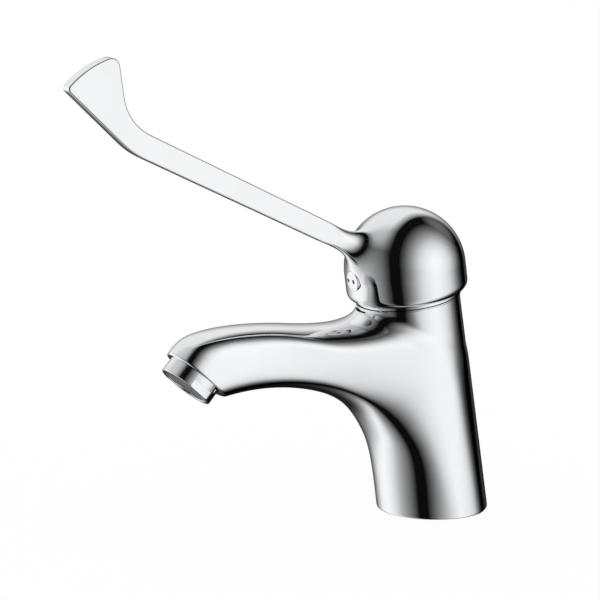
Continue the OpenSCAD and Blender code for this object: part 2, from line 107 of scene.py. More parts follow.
def soft_min(a: np.ndarray, b: np.ndarray, k: np.ndarray) -> np.ndarray:
    """Smaller of two values, rounded over so that its curvature runs on where they are close.

    Args:
        a: First values.
        b: Second values.
        k: How wide the rounding is.

    Returns:
        The rounded values.
    """
    reach = 1.5 * k
    near = np.maximum(1.0 - np.abs(a - b) / reach, 0.0)
    return np.minimum(a, b) - near ** 3 * reach / 6.0


def soft_max(a: np.ndarray, b: np.ndarray, k: np.ndarray) -> np.ndarray:
    """Greater of two values, rounded over in the same way."""
    return -soft_min(-a, -b, k)


def unit(v: np.ndarray, least: float = 1e-9) -> np.ndarray:
    """Vectors brought to a length of one, or left short where they are shorter than least."""
    return v / np.maximum(np.linalg.norm(v, axis=-1), least)[..., None]


def sin_cos(degrees: float) -> tuple[float, float]:
    """Sine and cosine of an angle in degrees."""
    return math.sin(math.radians(degrees)), math.cos(math.radians(degrees))


def linear(colour: str) -> tuple[float, float, float, float]:
    """Turn an sRGB hex colour into linear values.

    Args:
        colour: Six hex digits after a hash sign.

    Returns:
        Red, green, blue and an alpha of one.
    """
    parts = [int(colour[i:i + 2], 16) / 255.0 for i in (1, 3, 5)]
    rgb = [p / 12.92 if p <= 0.04045 else ((p + 0.055) / 1.055) ** 2.4 for p in parts]
    return rgb[0], rgb[1], rgb[2], 1.0


def arc(centre: Sequence[float], r: float, start: float, end: float, steps: int) -> np.ndarray:
    """Points of a circular arc in a plane.

    Args:
        centre: Centre of the arc.
        r: Radius.
        start: First angle in degrees.
        end: Last angle in degrees.
        steps: Number of chords.

    Returns:
        One row for each point, both ends included.
    """
    a = np.radians(np.linspace(start, end, steps + 1))
    return np.column_stack([centre[0] + r * np.cos(a), centre[1] + r * np.sin(a)])


def fillet(p: np.ndarray, corner: np.ndarray, q: np.ndarray, r: float, steps: int) -> np.ndarray:
    """Arc that rounds the corner between the lines to p and to q.

    Args:
        p: A point on the line before the corner.
        corner: Where the two lines meet.
        q: A point on the line after the corner.
        r: Radius of the arc.
        steps: Number of chords.

    Returns:
        The arc's points, from the side of p to the side of q.
    """
    to_p, to_q = unit(p - corner), unit(q - corner)
    half = 0.5 * math.acos(float(np.dot(to_p, to_q)))
    centre = corner + unit(to_p + to_q) * r / math.sin(half)
    first = corner + to_p * r / math.tan(half) - centre
    last = corner + to_q * r / math.tan(half) - centre
    start = math.degrees(math.atan2(first[1], first[0]))
    sweep = math.degrees(math.atan2(last[1], last[0])) - start
    sweep = (sweep + 180.0) % 360.0 - 180.0
    return arc(centre, r, start, start + sweep, steps)


@dataclass(frozen=True)
class Seat:
    """A local frame: its origin and its three unit axes in the part's frame."""

    origin: tuple[float, float, float]
    x: tuple[float, float, float]
    y: tuple[float, float, float]
    z: tuple[float, float, float]

    def put(self, points: np.ndarray) -> np.ndarray:
        """Local points in the part's frame."""
        return np.asarray(self.origin) + np.asarray(points) @ np.array([self.x, self.y, self.z])

    def moved(self, x: float) -> "Seat":
        """The same frame, moved along its x axis."""
        return Seat(tuple(self.put((x, 0, 0))), self.x, self.y, self.z)


@dataclass(frozen=True)
class Layout:
    """Where the tap's main places are."""

    lean: float = 7.9
    rim_h: float = 95.9
    seam_h: float = 95.0
    pivot_h: float = 91.0
    equator_h: float = 109.0
    lip: tuple[float, float, float] = (0.0, -118.7, 73.3)
    outlet_tilt: float = 42.5
    lever_rise: float = 35.0
    stem_tilt: float = 12.5

    def leaned(self, p: Sequence[float]) -> tuple[float, float, float]:
        """A point or direction of the leaning frame in the part's frame."""
        s, c = sin_cos(self.lean)
        return p[0], p[1] * c - p[2] * s, p[1] * s + p[2] * c

    def column(self) -> Seat:
        """Seat with z along the leaning column."""
        return Seat((0, 0, 0), (1, 0, 0), self.leaned((0, 1, 0)), self.leaned((0, 0, 1)))

    def outlet(self) -> Seat:
        """Seat with z pointing out of the spout."""
        s, c = sin_cos(self.outlet_tilt)
        return Seat(self.lip, (1, 0, 0), (0, -c, s), (0, -s, -c))

    def front(self) -> Seat:
        """Seat with z pointing forward out of the dome's widest line."""
        origin = self.leaned((0, 0, self.equator_h))
        return Seat(origin, (1, 0, 0), self.leaned((0, 0, 1)), self.leaned((0, -1, 0)))

    def stem(self) -> Seat:
        """Seat of the cartridge's stem.

        Returns:
            A frame with z along the stem at rest.
        """
        s, c = sin_cos(self.stem_tilt)
        origin = self.leaned((0, 0, self.pivot_h))
        return Seat(origin, (1, 0, 0), self.leaned((0, c, s)), self.leaned((0, -s, c)))

    def lever(self) -> Seat:
        """Seat of the lever.

        Returns:
            A frame with x along the lever, y across it in its plane and z through the blade.
        """
        s, c = sin_cos(self.lever_rise)
        origin = self.leaned((0, 0, self.equator_h))
        return Seat(origin, self.leaned((0, -c, s)), self.leaned((0, s, c)), (-1, 0, 0))


LAYOUT = Layout()


def link(name: str, data: bpy.types.ID) -> bpy.types.Object:
    """Put an object into the scene.

    Args:
        name: Name of the object.
        data: Its mesh or camera.

    Returns:
        The new object, at the origin.
    """
    obj = bpy.data.objects.new(name, data)
    bpy.context.scene.collection.objects.link(obj)
    return obj


def make_object(name: str, points: np.ndarray, faces: Faces) -> bpy.types.Object:
    """Make a closed mesh object with its faces outward.

    Args:
        name: Name of the object.
        points: Places in millimetres in the part's frame.
        faces: Vertex numbers of each face.

    Returns:
        The new object, at the origin.
    """
    mesh = bpy.data.meshes.new(name)
    mesh.from_pydata((np.asarray(points) * MM).tolist(), [], faces)
    work = bmesh.new()
    work.from_mesh(mesh)
    bmesh.ops.recalc_face_normals(work, faces=work.faces)
    if work.calc_volume(signed=True) < 0.0:
        bmesh.ops.reverse_faces(work, faces=work.faces)
    work.to_mesh(mesh)
    work.free()
    return link(name, mesh)


def ring_faces(rings: int, count: int, start: int = 0) -> Faces:
    """Quads between closed rings that follow each other.

    Args:
        rings: Number of rings.
        count: Points in each ring.
        start: Number of the first ring's first point.

    Returns:
        The faces.
    """
    faces = []
    for i in range(rings - 1):
        low = start + i * count
        for j in range(count):
            k = (j + 1) % count
            faces.append([low + j, low + k, low + count + k, low + count + j])
    return faces


def revolve(name: str, profile: Sequence[Sequence[float]], seat: Seat, sides: int) -> bpy.types.Object:
    """Turn a closed half section round a seat's z axis.

    Args:
        name: Name of the object.
        profile: Radius and height of each corner, in order round the section. The section ends
            on the axis where its first and last radius are zero.
        seat: Frame to turn it in.
        sides: Number of sides.

    Returns:
        The new object.
    """
    shape = np.asarray(profile, dtype=float)
    on_axis = shape[0, 0] == 0.0
    rows = shape[1:-1] if on_axis else shape
    a = np.radians(np.arange(sides) * 360.0 / sides)
    points = [np.column_stack([r * np.cos(a), r * np.sin(a), np.full(sides, h)]) for r, h in rows]
    faces = ring_faces(len(rows), sides)
    last = (len(rows) - 1) * sides
    if on_axis:
        faces.append(list(range(sides)))
        faces.append([last + j for j in range(sides)])
    else:
        faces += [[last + j, last + (j + 1) % sides, (j + 1) % sides, j] for j in range(sides)]
    return make_object(name, seat.put(np.vstack(points)), faces)


def bore(seat: Seat, r: float, low: float, high: float, sides: int) -> bpy.types.Object:
    """A round cutter round a seat's z axis."""
    return revolve("cutter", [(0, low), (r, low), (r, high), (0, high)], seat, sides)


def rod(p: Sequence[float], q: Sequence[float], r: float, sides: int = DRILL) -> bpy.types.Object:
    """A round cutter from p to q, in the part's frame.

    Args:
        p: Centre of one end.
        q: Centre of the other end.
        r: Radius.
        sides: Number of sides.

    Returns:
        The cutter.
    """
    a, b = np.asarray(p, dtype=float), np.asarray(q, dtype=float)
    z = unit(b - a)
    x = unit(np.cross(z, ASIDE))
    seat = Seat(tuple(a), tuple(x), tuple(np.cross(z, x)), tuple(z))
    length = float(np.linalg.norm(b - a))
    return bore(seat, r, 0.0, length, sides)


def drill(seat: Seat, low: float, high: float, r: float, sides: int = DRILL) -> bpy.types.Object:
    """A round cutter along a seat's z axis, made as a rod."""
    return rod(seat.put((0, 0, low)), seat.put((0, 0, high)), r, sides)


def block(seat: Seat, low: Sequence[float], high: Sequence[float]) -> bpy.types.Object:
    """A square cutter between two corners of a seat.

    Args:
        seat: Frame of the corners.
        low: Lowest corner.
        high: Highest corner.

    Returns:
        The cutter.
    """
    corners = [[(low, high)[i][0], (low, high)[j][1], (low, high)[k][2]]
               for k in (0, 1) for i, j in ((0, 0), (1, 0), (1, 1), (0, 1))]
    faces = [[0, 1, 2, 3], [4, 5, 6, 7]]
    faces += [[i, (i + 1) % 4, 4 + (i + 1) % 4, 4 + i] for i in range(4)]
    return make_object("cutter", seat.put(np.array(corners, dtype=float)), faces)


def bake(obj: bpy.types.Object) -> None:
    """Turn an object's modifiers into its plain mesh.

    Args:
        obj: The object, which keeps its name.
    """
    graph = bpy.context.evaluated_depsgraph_get()
    result = bpy.data.meshes.new_from_object(obj.evaluated_get(graph))
    obj.modifiers.clear()
    old = obj.data
    obj.data = result
    bpy.data.meshes.remove(old)


def cut(target: bpy.types.Object, *cutters: bpy.types.Object) -> None:
    """Take cutters out of a target and delete them.

    Args:
        target: Closed mesh to cut.
        cutters: Closed meshes.
    """
    for cutter in cutters:
        step = target.modifiers.new("cut", "BOOLEAN")
        step.operation = "DIFFERENCE"
        step.solver = "MANIFOLD"
        step.object = cutter
        bake(target)
        bpy.data.objects.remove(cutter)


def shade(obj: bpy.types.Object, angle: float = 32.0) -> None:
    """Shade smooth, with edges sharper than the angle left sharp."""
    obj.data.shade_smooth()
    obj.data.set_sharp_from_angle(angle=math.radians(angle))


def trace(field_of: Field, origins: np.ndarray, dirs: np.ndarray, far: float, step: float,
          halvings: int = 30) -> np.ndarray:
    """Walk from inside a form along rays to its surface.

    Args:
        field_of: Signed distance to the form, negative inside.
        origins: Start of each ray.
        dirs: Unit direction of each ray.
        far: Longest walk.
        step: Length of a stride.
        halvings: How often the last stride is halved.

    Returns:
        The first point of each ray on the surface.
    """
    low = np.zeros(origins.shape[:-1])
    high = np.full(low.shape, far)
    open_rays = np.ones(low.shape, dtype=bool)
    for t in np.arange(step, far, step):
        outside = field_of(origins + t * dirs) > 0.0
        hit = outside & open_rays
        high[hit] = t
        open_rays &= ~outside
        low[open_rays] = t
        if not open_rays.any():
            break
    for _ in range(halvings):
        middle = 0.5 * (low + high)
        inside = field_of(origins + middle[..., None] * dirs) <= 0.0
        low = np.where(inside, middle, low)
        high = np.where(inside, high, middle)
    return origins + (0.5 * (low + high))[..., None] * dirs


def gradient(field_of: Field, p: np.ndarray, step: float = 0.02) -> np.ndarray:
    """Direction and rate of a field's growth.

    Args:
        field_of: The field.
        p: Points to measure at.
        step: Distance to either side of a point.

    Returns:
        A vector for each point.
    """
    out = np.empty_like(p)
    for i in range(3):
        side = np.zeros(3)
        side[i] = step
        out[..., i] = (field_of(p + side) - field_of(p - side)) / (2.0 * step)
    return out


def surface_net(field_of: Field, low: Sequence[float], high: Sequence[float],
                cell: float) -> tuple[np.ndarray, np.ndarray]:
    """Net of quads round a form, with a point in each cell that its surface crosses.

    Args:
        field_of: Signed distance to the form.
        low: Lowest corner of the room searched.
        high: Highest corner.
        cell: Size of a cell.

    Returns:
        Points and quads.
    """
    axes = [np.arange(a, b + cell, cell) for a, b in zip(low, high)]
    slab = np.stack(np.meshgrid(axes[1], axes[2], indexing="ij"), axis=-1)
    layers = [field_of(np.concatenate([np.full(slab.shape[:2] + (1,), x), slab], axis=-1)) < 0.0
              for x in axes[0]]
    inside = np.array(layers)
    size = np.array(inside.shape) - 1
    corners = np.zeros(size, dtype=int)
    for i, j, k in np.ndindex(2, 2, 2):
        corners += inside[i:i + size[0], j:j + size[1], k:k + size[2]]
    crossed = (corners > 0) & (corners < 8)
    number = np.full(size, -1)
    number[crossed] = np.arange(int(crossed.sum()))
    points = np.asarray(low) + (np.argwhere(crossed) + 0.5) * cell
    quads = []
    for axis in range(3):
        ends = np.moveaxis(inside, axis, 0)
        cells = np.moveaxis(number, axis, 0)
        a, b, c = np.nonzero(ends[1:, 1:-1, 1:-1] != ends[:-1, 1:-1, 1:-1])
        quads.append(np.column_stack([cells[a, b + 1, c + 1], cells[a, b, c + 1],
                                      cells[a, b, c], cells[a, b + 1, c]]))
    return points, np.vstack(quads)


def lay(field_of: Field, points: np.ndarray, steps: int, stride: float = 0.5,
        least: float = 0.05) -> np.ndarray:
    """Move points onto a form's surface.

    Args:
        field_of: Signed distance to the form.
        points: Points near the surface.
        steps: How often to move them.
        stride: Longest move.
        least: Least square of the field's rate that is divided by.

    Returns:
        The points on the surface.
    """
    for _ in range(steps):
        g = gradient(field_of, points)
        share = field_of(points) / np.maximum(np.sum(g * g, axis=-1), least)
        points = points - np.clip(share, -stride, stride)[:, None] * g
    return points


def settle(field_of: Field, points: np.ndarray, quads: np.ndarray, rounds: int = 10,
           pull: float = 0.6, steps: int = 2) -> np.ndarray:
    """Even out a net and lay its points on the surface.

    Args:
        field_of: Signed distance to the form.
        points: The net's points.
        quads: The net's quads.
        rounds: How often to even out.
        pull: Share of the way to the middle of its neighbours that a point goes.
        steps: How often to lay the points in each round.

    Returns:
        The points on the surface.
    """
    a = np.concatenate([quads[:, i] for i in range(4)])
    b = np.concatenate([quads[:, (i + 1) % 4] for i in range(4)])
    ends = np.concatenate([a, b])
    others = np.concatenate([b, a])
    count = np.bincount(ends, minlength=len(points))[:, None]
    for _ in range(rounds):
        total = np.column_stack([np.bincount(ends, points[others, i], len(points)) for i in range(3)])
        points = lay(field_of, points + pull * (total / count - points), steps)
    return lay(field_of, points, 2 * steps)


def refine(obj: bpy.types.Object, field_of: Field, bend: float = 9.0, rounds: int = 2,
           steps: int = 3) -> None:
    """Split the edges of a skin where its form turns sharply.

    Args:
        obj: The skin.
        field_of: Signed distance to the form.
        bend: Turn along an edge, in degrees, past which it is split.
        rounds: How often to split.
        steps: How often to lay the points after a split.
    """
    for _ in range(rounds):
        bm = bmesh.new()
        bm.from_mesh(obj.data)
        p = np.array([v.co for v in bm.verts]) / MM
        g = unit(gradient(field_of, p))
        pairs = np.array([[v.index for v in e.verts] for e in bm.edges])
        sharp = np.sum(g[pairs[:, 0]] * g[pairs[:, 1]], axis=1) < math.cos(math.radians(bend))
        bm.edges.ensure_lookup_table()
        bmesh.ops.subdivide_edges(bm, edges=[bm.edges[i] for i in np.nonzero(sharp)[0]], cuts=1,
                                  use_grid_fill=True)
        p = lay(field_of, np.array([v.co for v in bm.verts]) / MM, steps)
        for v, q in zip(bm.verts, p):
            v.co = q * MM
        bm.to_mesh(obj.data)
        bm.free()


def fetch(items: bpy.types.bpy_prop_collection, name: str, width: int = 1,
          kind: type = float) -> np.ndarray:
    """Read one property of every item of a mesh.

    Args:
        items: The mesh's points, corners or faces.
        name: The property.
        width: Numbers in each.
        kind: Type of the numbers.

    Returns:
        A number or a row for each item.
    """
    out = np.empty(len(items) * width, dtype=kind)
    items.foreach_get(name, out)
    return out if width == 1 else out.reshape(-1, width)


def polish(obj: bpy.types.Object, field_of: Field, near: float = 0.02, facing: float = 0.6) -> None:
    """Give the faces on a form's surface the form's own normals, so that mirrors run smooth.

    Args:
        obj: The piece.
        field_of: Signed distance to the form.
        near: How far from the surface a point may lie.
        facing: Least cosine between a face's normal and the form's.
    """
    mesh = obj.data
    p = fetch(mesh.vertices, "co", 3) / MM
    g = unit(gradient(field_of, p))
    on = np.abs(field_of(p)) < near
    loops = fetch(mesh.loops, "vertex_index", kind=int)
    totals = fetch(mesh.polygons, "loop_total", kind=int)
    face = np.repeat(np.arange(len(totals)), totals)
    normals = fetch(mesh.corner_normals, "vector", 3)
    along = np.sum(fetch(mesh.polygons, "normal", 3)[face] * g[loops], axis=1) > facing
    stray = np.bincount(face, ~(on[loops] & along), len(totals))
    skin = (stray == 0)[face]
    normals[skin] = g[loops[skin]]
    mesh.normals_split_custom_set(normals.tolist())


def add_node(tree: bpy.types.NodeTree, kind: str, links: dict | None = None, **settings) -> bpy.types.Node:
    """Add a node with its settings and links.

    Args:
        tree: Tree to add it to.
        kind: Type of the node.
        links: Output socket or plain value for each input, by the input's name or number.
        settings: Attributes of the node.

    Returns:
        The node.
    """
    node = tree.nodes.new(kind)
    for name, value in settings.items():
        setattr(node, name, value)
    for key, value in (links or {}).items():
        if isinstance(value, bpy.types.NodeSocket):
            tree.links.new(value, node.inputs[key])
        else:
            node.inputs[key].default_value = value
    return node


def math_node(tree: bpy.types.NodeTree, operation: str, *values) -> bpy.types.NodeSocket:
    """Add a math node and give its result, with a socket or a plain number for each input."""
    return add_node(tree, "ShaderNodeMath", dict(enumerate(values)), operation=operation).outputs[0]


def fresh_tree(owner: bpy.types.Material | bpy.types.World) -> bpy.types.NodeTree:
    """Turn on the nodes of a material or a world.

    Args:
        owner: The material or the world.

    Returns:
        Its empty tree.
    """
    owner.use_nodes = True
    owner.node_tree.nodes.clear()
    return owner.node_tree


@dataclass(frozen=True)
class Finish:
    """A real material and how its surface was made.

    Attributes:
        name: Common name of the material.
        colour: Its sRGB colour.
        shade: Its colour in the darker patches.
        metallic: One for a metal.
        smooth: Roughness where the surface is smoothest.
        rough: Roughness where it is roughest.
        patch: Size of the patches in millimetres.
        grit: Size of the fine relief in millimetres.
        relief: Height of the fine relief in millimetres.
        ior: Refraction of a material that isn't a metal.
        grain: Pattern of the patches.
    """

    name: str
    colour: str
    shade: str
    metallic: float
    smooth: float
    rough: float
    patch: float
    grit: float
    relief: float
    ior: float = 1.5
    grain: Grain = Grain.CLOUDED

    def material(self) -> bpy.types.Material:
        """Build the material.

        Returns:
            A material on Object coordinates.
        """
        made = bpy.data.materials.new(self.name)
        tree = fresh_tree(made)
        place = add_node(tree, "ShaderNodeTexCoord").outputs["Object"]
        patches = self._patches(tree, place)
        # Inputs 6 and 7 and output 2 are the mix's colours
        tint = add_node(tree, "ShaderNodeMix",
                        {0: patches, 6: linear(self.colour), 7: linear(self.shade)}, data_type="RGBA")
        gloss = add_node(tree, "ShaderNodeMapRange", {0: patches, 3: self.smooth, 4: self.rough})
        grit = add_node(tree, "ShaderNodeTexNoise",
                        {"Vector": place, "Scale": 1.0 / (self.grit * MM), "Detail": 2.0})
        bump = add_node(tree, "ShaderNodeBump",
                        {"Height": grit.outputs[0], "Distance": self.relief * MM, "Strength": 1.0})
        shader = add_node(tree, "ShaderNodeBsdfPrincipled",
                          {"Base Color": tint.outputs[2], "Roughness": gloss.outputs[0],
                           "Normal": bump.outputs[0], "Metallic": self.metallic})
        if self.metallic == 0.0:
            shader.inputs["IOR"].default_value = self.ior
        add_node(tree, "ShaderNodeOutputMaterial", {"Surface": shader.outputs[0]})
        return made

    def _patches(self, tree: bpy.types.NodeTree, place: bpy.types.NodeSocket) -> bpy.types.NodeSocket:
        """Pattern between 0 and 1 that the colour and the gloss follow.

        Args:
            tree: Tree of the material.
            place: Object coordinates.

        Returns:
            The pattern's socket.
        """
        if self.grain is Grain.TURNED:
            rings = add_node(tree, "ShaderNodeTexWave",
                             {"Vector": place, "Scale": 1.0 / (self.patch * MM), "Distortion": 0.6},
                             bands_direction="Z")
            return rings.outputs[1]
        cloud = add_node(tree, "ShaderNodeTexNoise",
                         {"Vector": place, "Scale": 1.0 / (self.patch * MM), "Detail": 3.0})
        return cloud.outputs[0]


# Bright chrome plate on polished brass: a clear mirror, very slightly blue, with a faint haze
CHROME = Finish("bright_chrome_plate", "#F2F3F4", "#EBECEE", 1.0, 0.020, 0.045, 18.0, 0.9, 0.00004)
# Turned brass: warm yellow with fine tool rings
BRASS = Finish("turned_brass", "#C9A04E", "#B48C3F", 1.0, 0.22, 0.34, 0.8, 0.3, 0.003, grain=Grain.TURNED)
# Stainless steel, ground: grey and softly bright
STEEL = Finish("ground_stainless_steel", "#B9BABC", "#A5A6A9", 1.0, 0.26, 0.38, 1.2, 0.2, 0.003)
# Moulded EPDM rubber: black and matt, with a fine skin
RUBBER = Finish("moulded_epdm_rubber", "#1B1B1D", "#242426", 0.0, 0.62, 0.78, 3.0, 0.25, 0.006, 1.52)
# Moulded acetal: milky white and waxy
ACETAL = Finish("moulded_acetal", "#E6E5DF", "#DBDAD3", 0.0, 0.34, 0.46, 4.0, 0.4, 0.003, 1.48)
# Moulded nylon: mid grey with a fine matt skin
NYLON = Finish("moulded_grey_nylon", "#77797B", "#6B6D70", 0.0, 0.38, 0.52, 3.0, 0.3, 0.004, 1.53)
# Sintered alumina, lapped: ivory white and glassy
ALUMINA = Finish("lapped_alumina", "#F1ECE2", "#E8E2D6", 0.0, 0.10, 0.20, 2.0, 0.15, 0.001, 1.76)
# Baked enamel in the dots: clear strong colour under a gloss skin
RED_ENAMEL = Finish("red_enamel", "#C4161C", "#AE1117", 0.0, 0.12, 0.20, 0.8, 0.2, 0.001, 1.52)
BLUE_ENAMEL = Finish("blue_enamel", "#1B3FB4", "#17369C", 0.0, 0.12, 0.20, 0.8, 0.2, 0.001, 1.52)


class Wardrobe:
    """The materials of the tap, one for each slot."""

    FINISHES = {
        Slot.CHROME: CHROME, Slot.BRASS: BRASS, Slot.STEEL: STEEL, Slot.RUBBER: RUBBER,
        Slot.PALE_PLASTIC: ACETAL, Slot.GREY_PLASTIC: NYLON, Slot.CERAMIC: ALUMINA,
        Slot.RED: RED_ENAMEL, Slot.BLUE: BLUE_ENAMEL,
    }

    def __init__(self) -> None:
        """Make every material once."""
        self.made = {slot: finish.material() for slot, finish in self.FINISHES.items()}

    def dress(self, obj: bpy.types.Object, slot: Slot) -> None:
        """Give an object one material all over.

        Args:
            obj: Object to dress.
            slot: Slot of its finish.
        """
        obj.data.materials.clear()
        obj.data.materials.append(self.made[slot])
        for face in obj.data.polygons:
            face.material_index = 0

    def place(self, obj: bpy.types.Object, slot: Slot, body: Body, *nodes: str) -> None:
        """Dress a piece, let it ride on its body and stand for its CAD nodes.

        Args:
            obj: The piece.
            slot: Slot of its finish.
            body: Body that it moves with.
            nodes: CAD nodes that it replaces.
        """
        self.dress(obj, slot)
        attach(obj, body.value)
        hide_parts(*nodes)
        log.info("%s: %d faces, stands for %s", obj.name, len(obj.data.polygons), ", ".join(nodes))


@dataclass
class CastBody:
    """The cast body: a leaning column that flows into an arched spout."""

    # The column and the plane that ends it
    base_r: float = 24.0
    top_r: float = 22.6
    overrun: float = 8.0
    lid_rise: float = 40.0
    lid_run: tuple[float, float] = (34.0, 60.0)
    # The spout's arch, by the angle phi round it
    arch_y: float = 80.0
    arch_r: float = 62.4
    spout_w: float = 13.6
    root_w: float = 23.2
    root_phi: float = 35.0
    tip_phi: float = 100.0
    belly: tuple[float, float] = (15.0, 34.0)
    brow: tuple[float, float, float] = (15.2, 36.0, 14.0)
    belly_phi: float = 40.0
    brow_phi: float = 56.0
    brow_end: float = 92.0
    rise_phi: float = 70.0
    lip_phi: float = 114.0
    tip_rise: float = 6.6
    dive_phi: float = 48.0
    dive: float = 15.0
    bend: float = 2.2
    rise_most: float = 3.0
    sink_most: float = 2.0
    upright: float = 88.0
    axis_gap: float = 0.001
    least_cos: float = 0.05
    core: float = 8.0
    square: float = 2.6
    # The band along its top and the lip
    crest_y: float = -106.0
    crest_z: float = 92.0
    crest_fall: float = 0.0022
    crest_run: float = 12.0
    nose: tuple[float, float] = (34.0, 20.0)
    crown: float = 0.0234
    lip_r: float = 14.2
    lip_run: float = 12.0
    lip_flare: float = 0.35
    # How the forms run into each other
    blends: dict = field(default_factory=lambda: {
        "ridge": 2.6, "rim": 1.2, "nose": 3.0, "flank": 4.0, "arch": 9.0,
        "core": 12.0, "belly": 10.0, "scale": 5.0})
    ridge_run: float = 4.0
    neck: tuple[float, float] = (38.0, 13.5)
    neck_square: float = 2.1
    crown_fade: float = 0.6
    crown_run: float = 30.0
    foot_round: float = 0.8
    lip_round: float = 1.0
    # The room that the net is made in
    low: tuple[float, float, float] = (-26.0, -137.0, -2.0)
    high: tuple[float, float, float] = (26.0, 27.0, 108.0)
    cell: float = 0.75
    # The seam, the chamber, the waterways and the fixings
    room: float = 30.0
    clear: float = 20.0
    seam_edge: float = 0.3
    seam_lip: float = 0.2
    floor_h: float = 61.96
    chamber_r: float = 17.65
    neck_h: float = 85.0
    nut_r: float = 20.6
    drop_y: float = -9.0
    drop_depth: float = 7.0
    drop_r: float = 4.0
    duct_depth: float = 5.5
    duct_r: float = 5.5
    duct_end: tuple[float, float, float] = (0.0, 6.0, 8.0)
    outlet_r: float = 12.0
    outlet_depth: float = 8.5
    throat_r: float = 7.0
    throat_depth: float = 13.0
    inlet_x: float = 8.5
    inlet_y: float = -6.0
    inlet_depth: float = 12.0
    inlet_r: float = 4.5
    feed_x: float = 7.5
    feed_y: float = 4.0
    feed_r: float = 3.5
    stud_y: float = 10.0
    stud_depth: float = 20.0
    stud_r: float = 3.4
    groove: tuple[float, float] = (18.6, 21.6)
    groove_depth: float = 2.0

    def form(self, p: np.ndarray) -> np.ndarray:
        """Signed distance to the outside of the body, before its ends are cut.

        Args:
            p: Points in the part's frame.

        Returns:
            A distance for each point, negative inside.
        """
        x, y, z = p[..., 0], p[..., 1], p[..., 2]
        s, c = sin_cos(LAYOUT.lean)
        h = z * c - y * s
        across = y * c + z * s
        q = np.hypot(x, across)
        taper = (self.base_r - self.top_r) / LAYOUT.rim_h
        column = q - self.base_r + taper * h
        front = np.clip(-across / np.maximum(q, self.axis_gap), 0.0, 1.0)
        joint = self.blends["flank"] + front ** 2 * self.blends["arch"]
        sides = soft_min(column, self.spout(x, y, z), joint)
        reach, climb = self.neck
        out = np.maximum(1.0 - column / reach, 0.0) ** self.neck_square
        flat = self.crown_fade * (1.0 - ease(0.0, self.crown_run, column))
        over = self.band(x, y, z) - flat * self.crown * x * x
        up = np.maximum(1.0 - over / climb, 0.0) ** self.neck_square
        top = climb * (1.0 - (out + up) ** (1.0 / self.neck_square))
        ridge = mix(self.blends["rim"], self.blends["ridge"], ease(0.0, self.ridge_run, column - top))
        lid = h - LAYOUT.rim_h - self.overrun - self.lid_rise * ease(self.lid_run[0], self.lid_run[1], q)
        return np.maximum(soft_max(sides, top, ridge), lid)

    def spout(self, x: np.ndarray, y: np.ndarray, z: np.ndarray) -> np.ndarray:
        """Signed distance to the spout: a squarish oval tube round the arch, with a rounded nose.

        Args:
            x: Places across.
            y: Places along.
            z: Heights.

        Returns:
            A distance for each point.
        """
        dy = y + self.arch_y
        phi = np.degrees(np.arctan2(z, dy))
        a = np.radians(np.minimum(phi, self.upright))
        lean = math.tan(math.radians(LAYOUT.lean))
        axis = self.arch_y / np.maximum(np.cos(a) + lean * np.sin(a), self.least_cos)
        rise = np.clip((phi - self.rise_phi) / (self.lip_phi - self.rise_phi), 0.0, self.rise_most)
        sink = np.clip((self.dive_phi - phi) / self.dive_phi, 0.0, self.sink_most)
        inner = self.arch_r + self.tip_rise * rise ** self.bend + self.dive * sink ** self.bend
        inner = soft_min(inner, axis - self.core, self.blends["core"])
        w = mix(self.root_w, self.spout_w, ease(self.root_phi, self.tip_phi, phi))
        low = mix(self.belly[1], self.belly[0], ease(self.belly_phi, self.tip_phi, phi))
        k = self.blends["belly"]
        low = soft_min(low, soft_max(axis - inner, self.core, k), k)
        high = mix(self.brow[1], self.brow[0], ease(self.brow_phi, self.brow_end, phi))
        high = mix(self.brow[2], high, ease(self.belly_phi, self.brow_phi, phi))
        n = np.hypot(dy, z) - inner - low
        half = np.where(n < 0.0, low, high)
        across = np.abs(x / w) ** self.square + np.abs(n / half) ** self.square
        k = self.blends["scale"]
        scale = soft_min(w, mix(low, high, ease(-k, k, n)), k)
        tube = (across ** (1.0 / self.square) - 1.0) * scale
        s, c = sin_cos(LAYOUT.outlet_tilt)
        m = (y - LAYOUT.lip[1]) * c - (z - LAYOUT.lip[2]) * s
        back = 0.5 * (m + np.hypot(m, self.lip_run)) - 0.5 * self.lip_run
        nose = np.hypot(x, np.minimum(m, 0.0)) - self.lip_r - self.lip_flare * np.maximum(back, 0.0)
        return soft_max(tube, nose, self.blends["nose"])

    def band(self, x: np.ndarray, y: np.ndarray, z: np.ndarray) -> np.ndarray:
        """Height over the crowned band along the spout's top.

        Args:
            x: Places across.
            y: Places along.
            z: Heights.

        Returns:
            A height for each point, negative below the band.
        """
        d = self.crest_y - y
        end = self.nose[0]
        ahead = (d + np.hypot(d, self.crest_run)) * end / (end + math.hypot(end, self.crest_run))
        round_end = self.nose[1] * (1.0 - np.sqrt(np.maximum(1.0 - (ahead / end) ** 2, 0.0)))
        dip = np.maximum(round_end - self.crest_fall * ahead * ahead, 0.0)
        return z - self.crest_z + self.crest_fall * d * d + dip + self.crown * x * x

    def closed(self, p: np.ndarray) -> np.ndarray:
        """The form, ended by the foot and the lip with their rounded edges.

        Args:
            p: Points in the part's frame.

        Returns:
            A distance for each point, negative inside.
        """
        out = np.asarray(LAYOUT.outlet().z)
        beyond = (p - np.asarray(LAYOUT.lip)) @ out
        ended = soft_max(self.form(p), -p[..., 2], self.foot_round)
        return soft_max(ended, beyond, self.lip_round)

    def skin(self) -> bpy.types.Object:
        """The outside of the casting.

        Returns:
            A closed mesh.
        """
        points, faces = surface_net(self.closed, self.low, self.high, self.cell)
        made = make_object("cast_body", settle(self.closed, points, faces), faces.tolist())
        refine(made, self.closed)
        return made

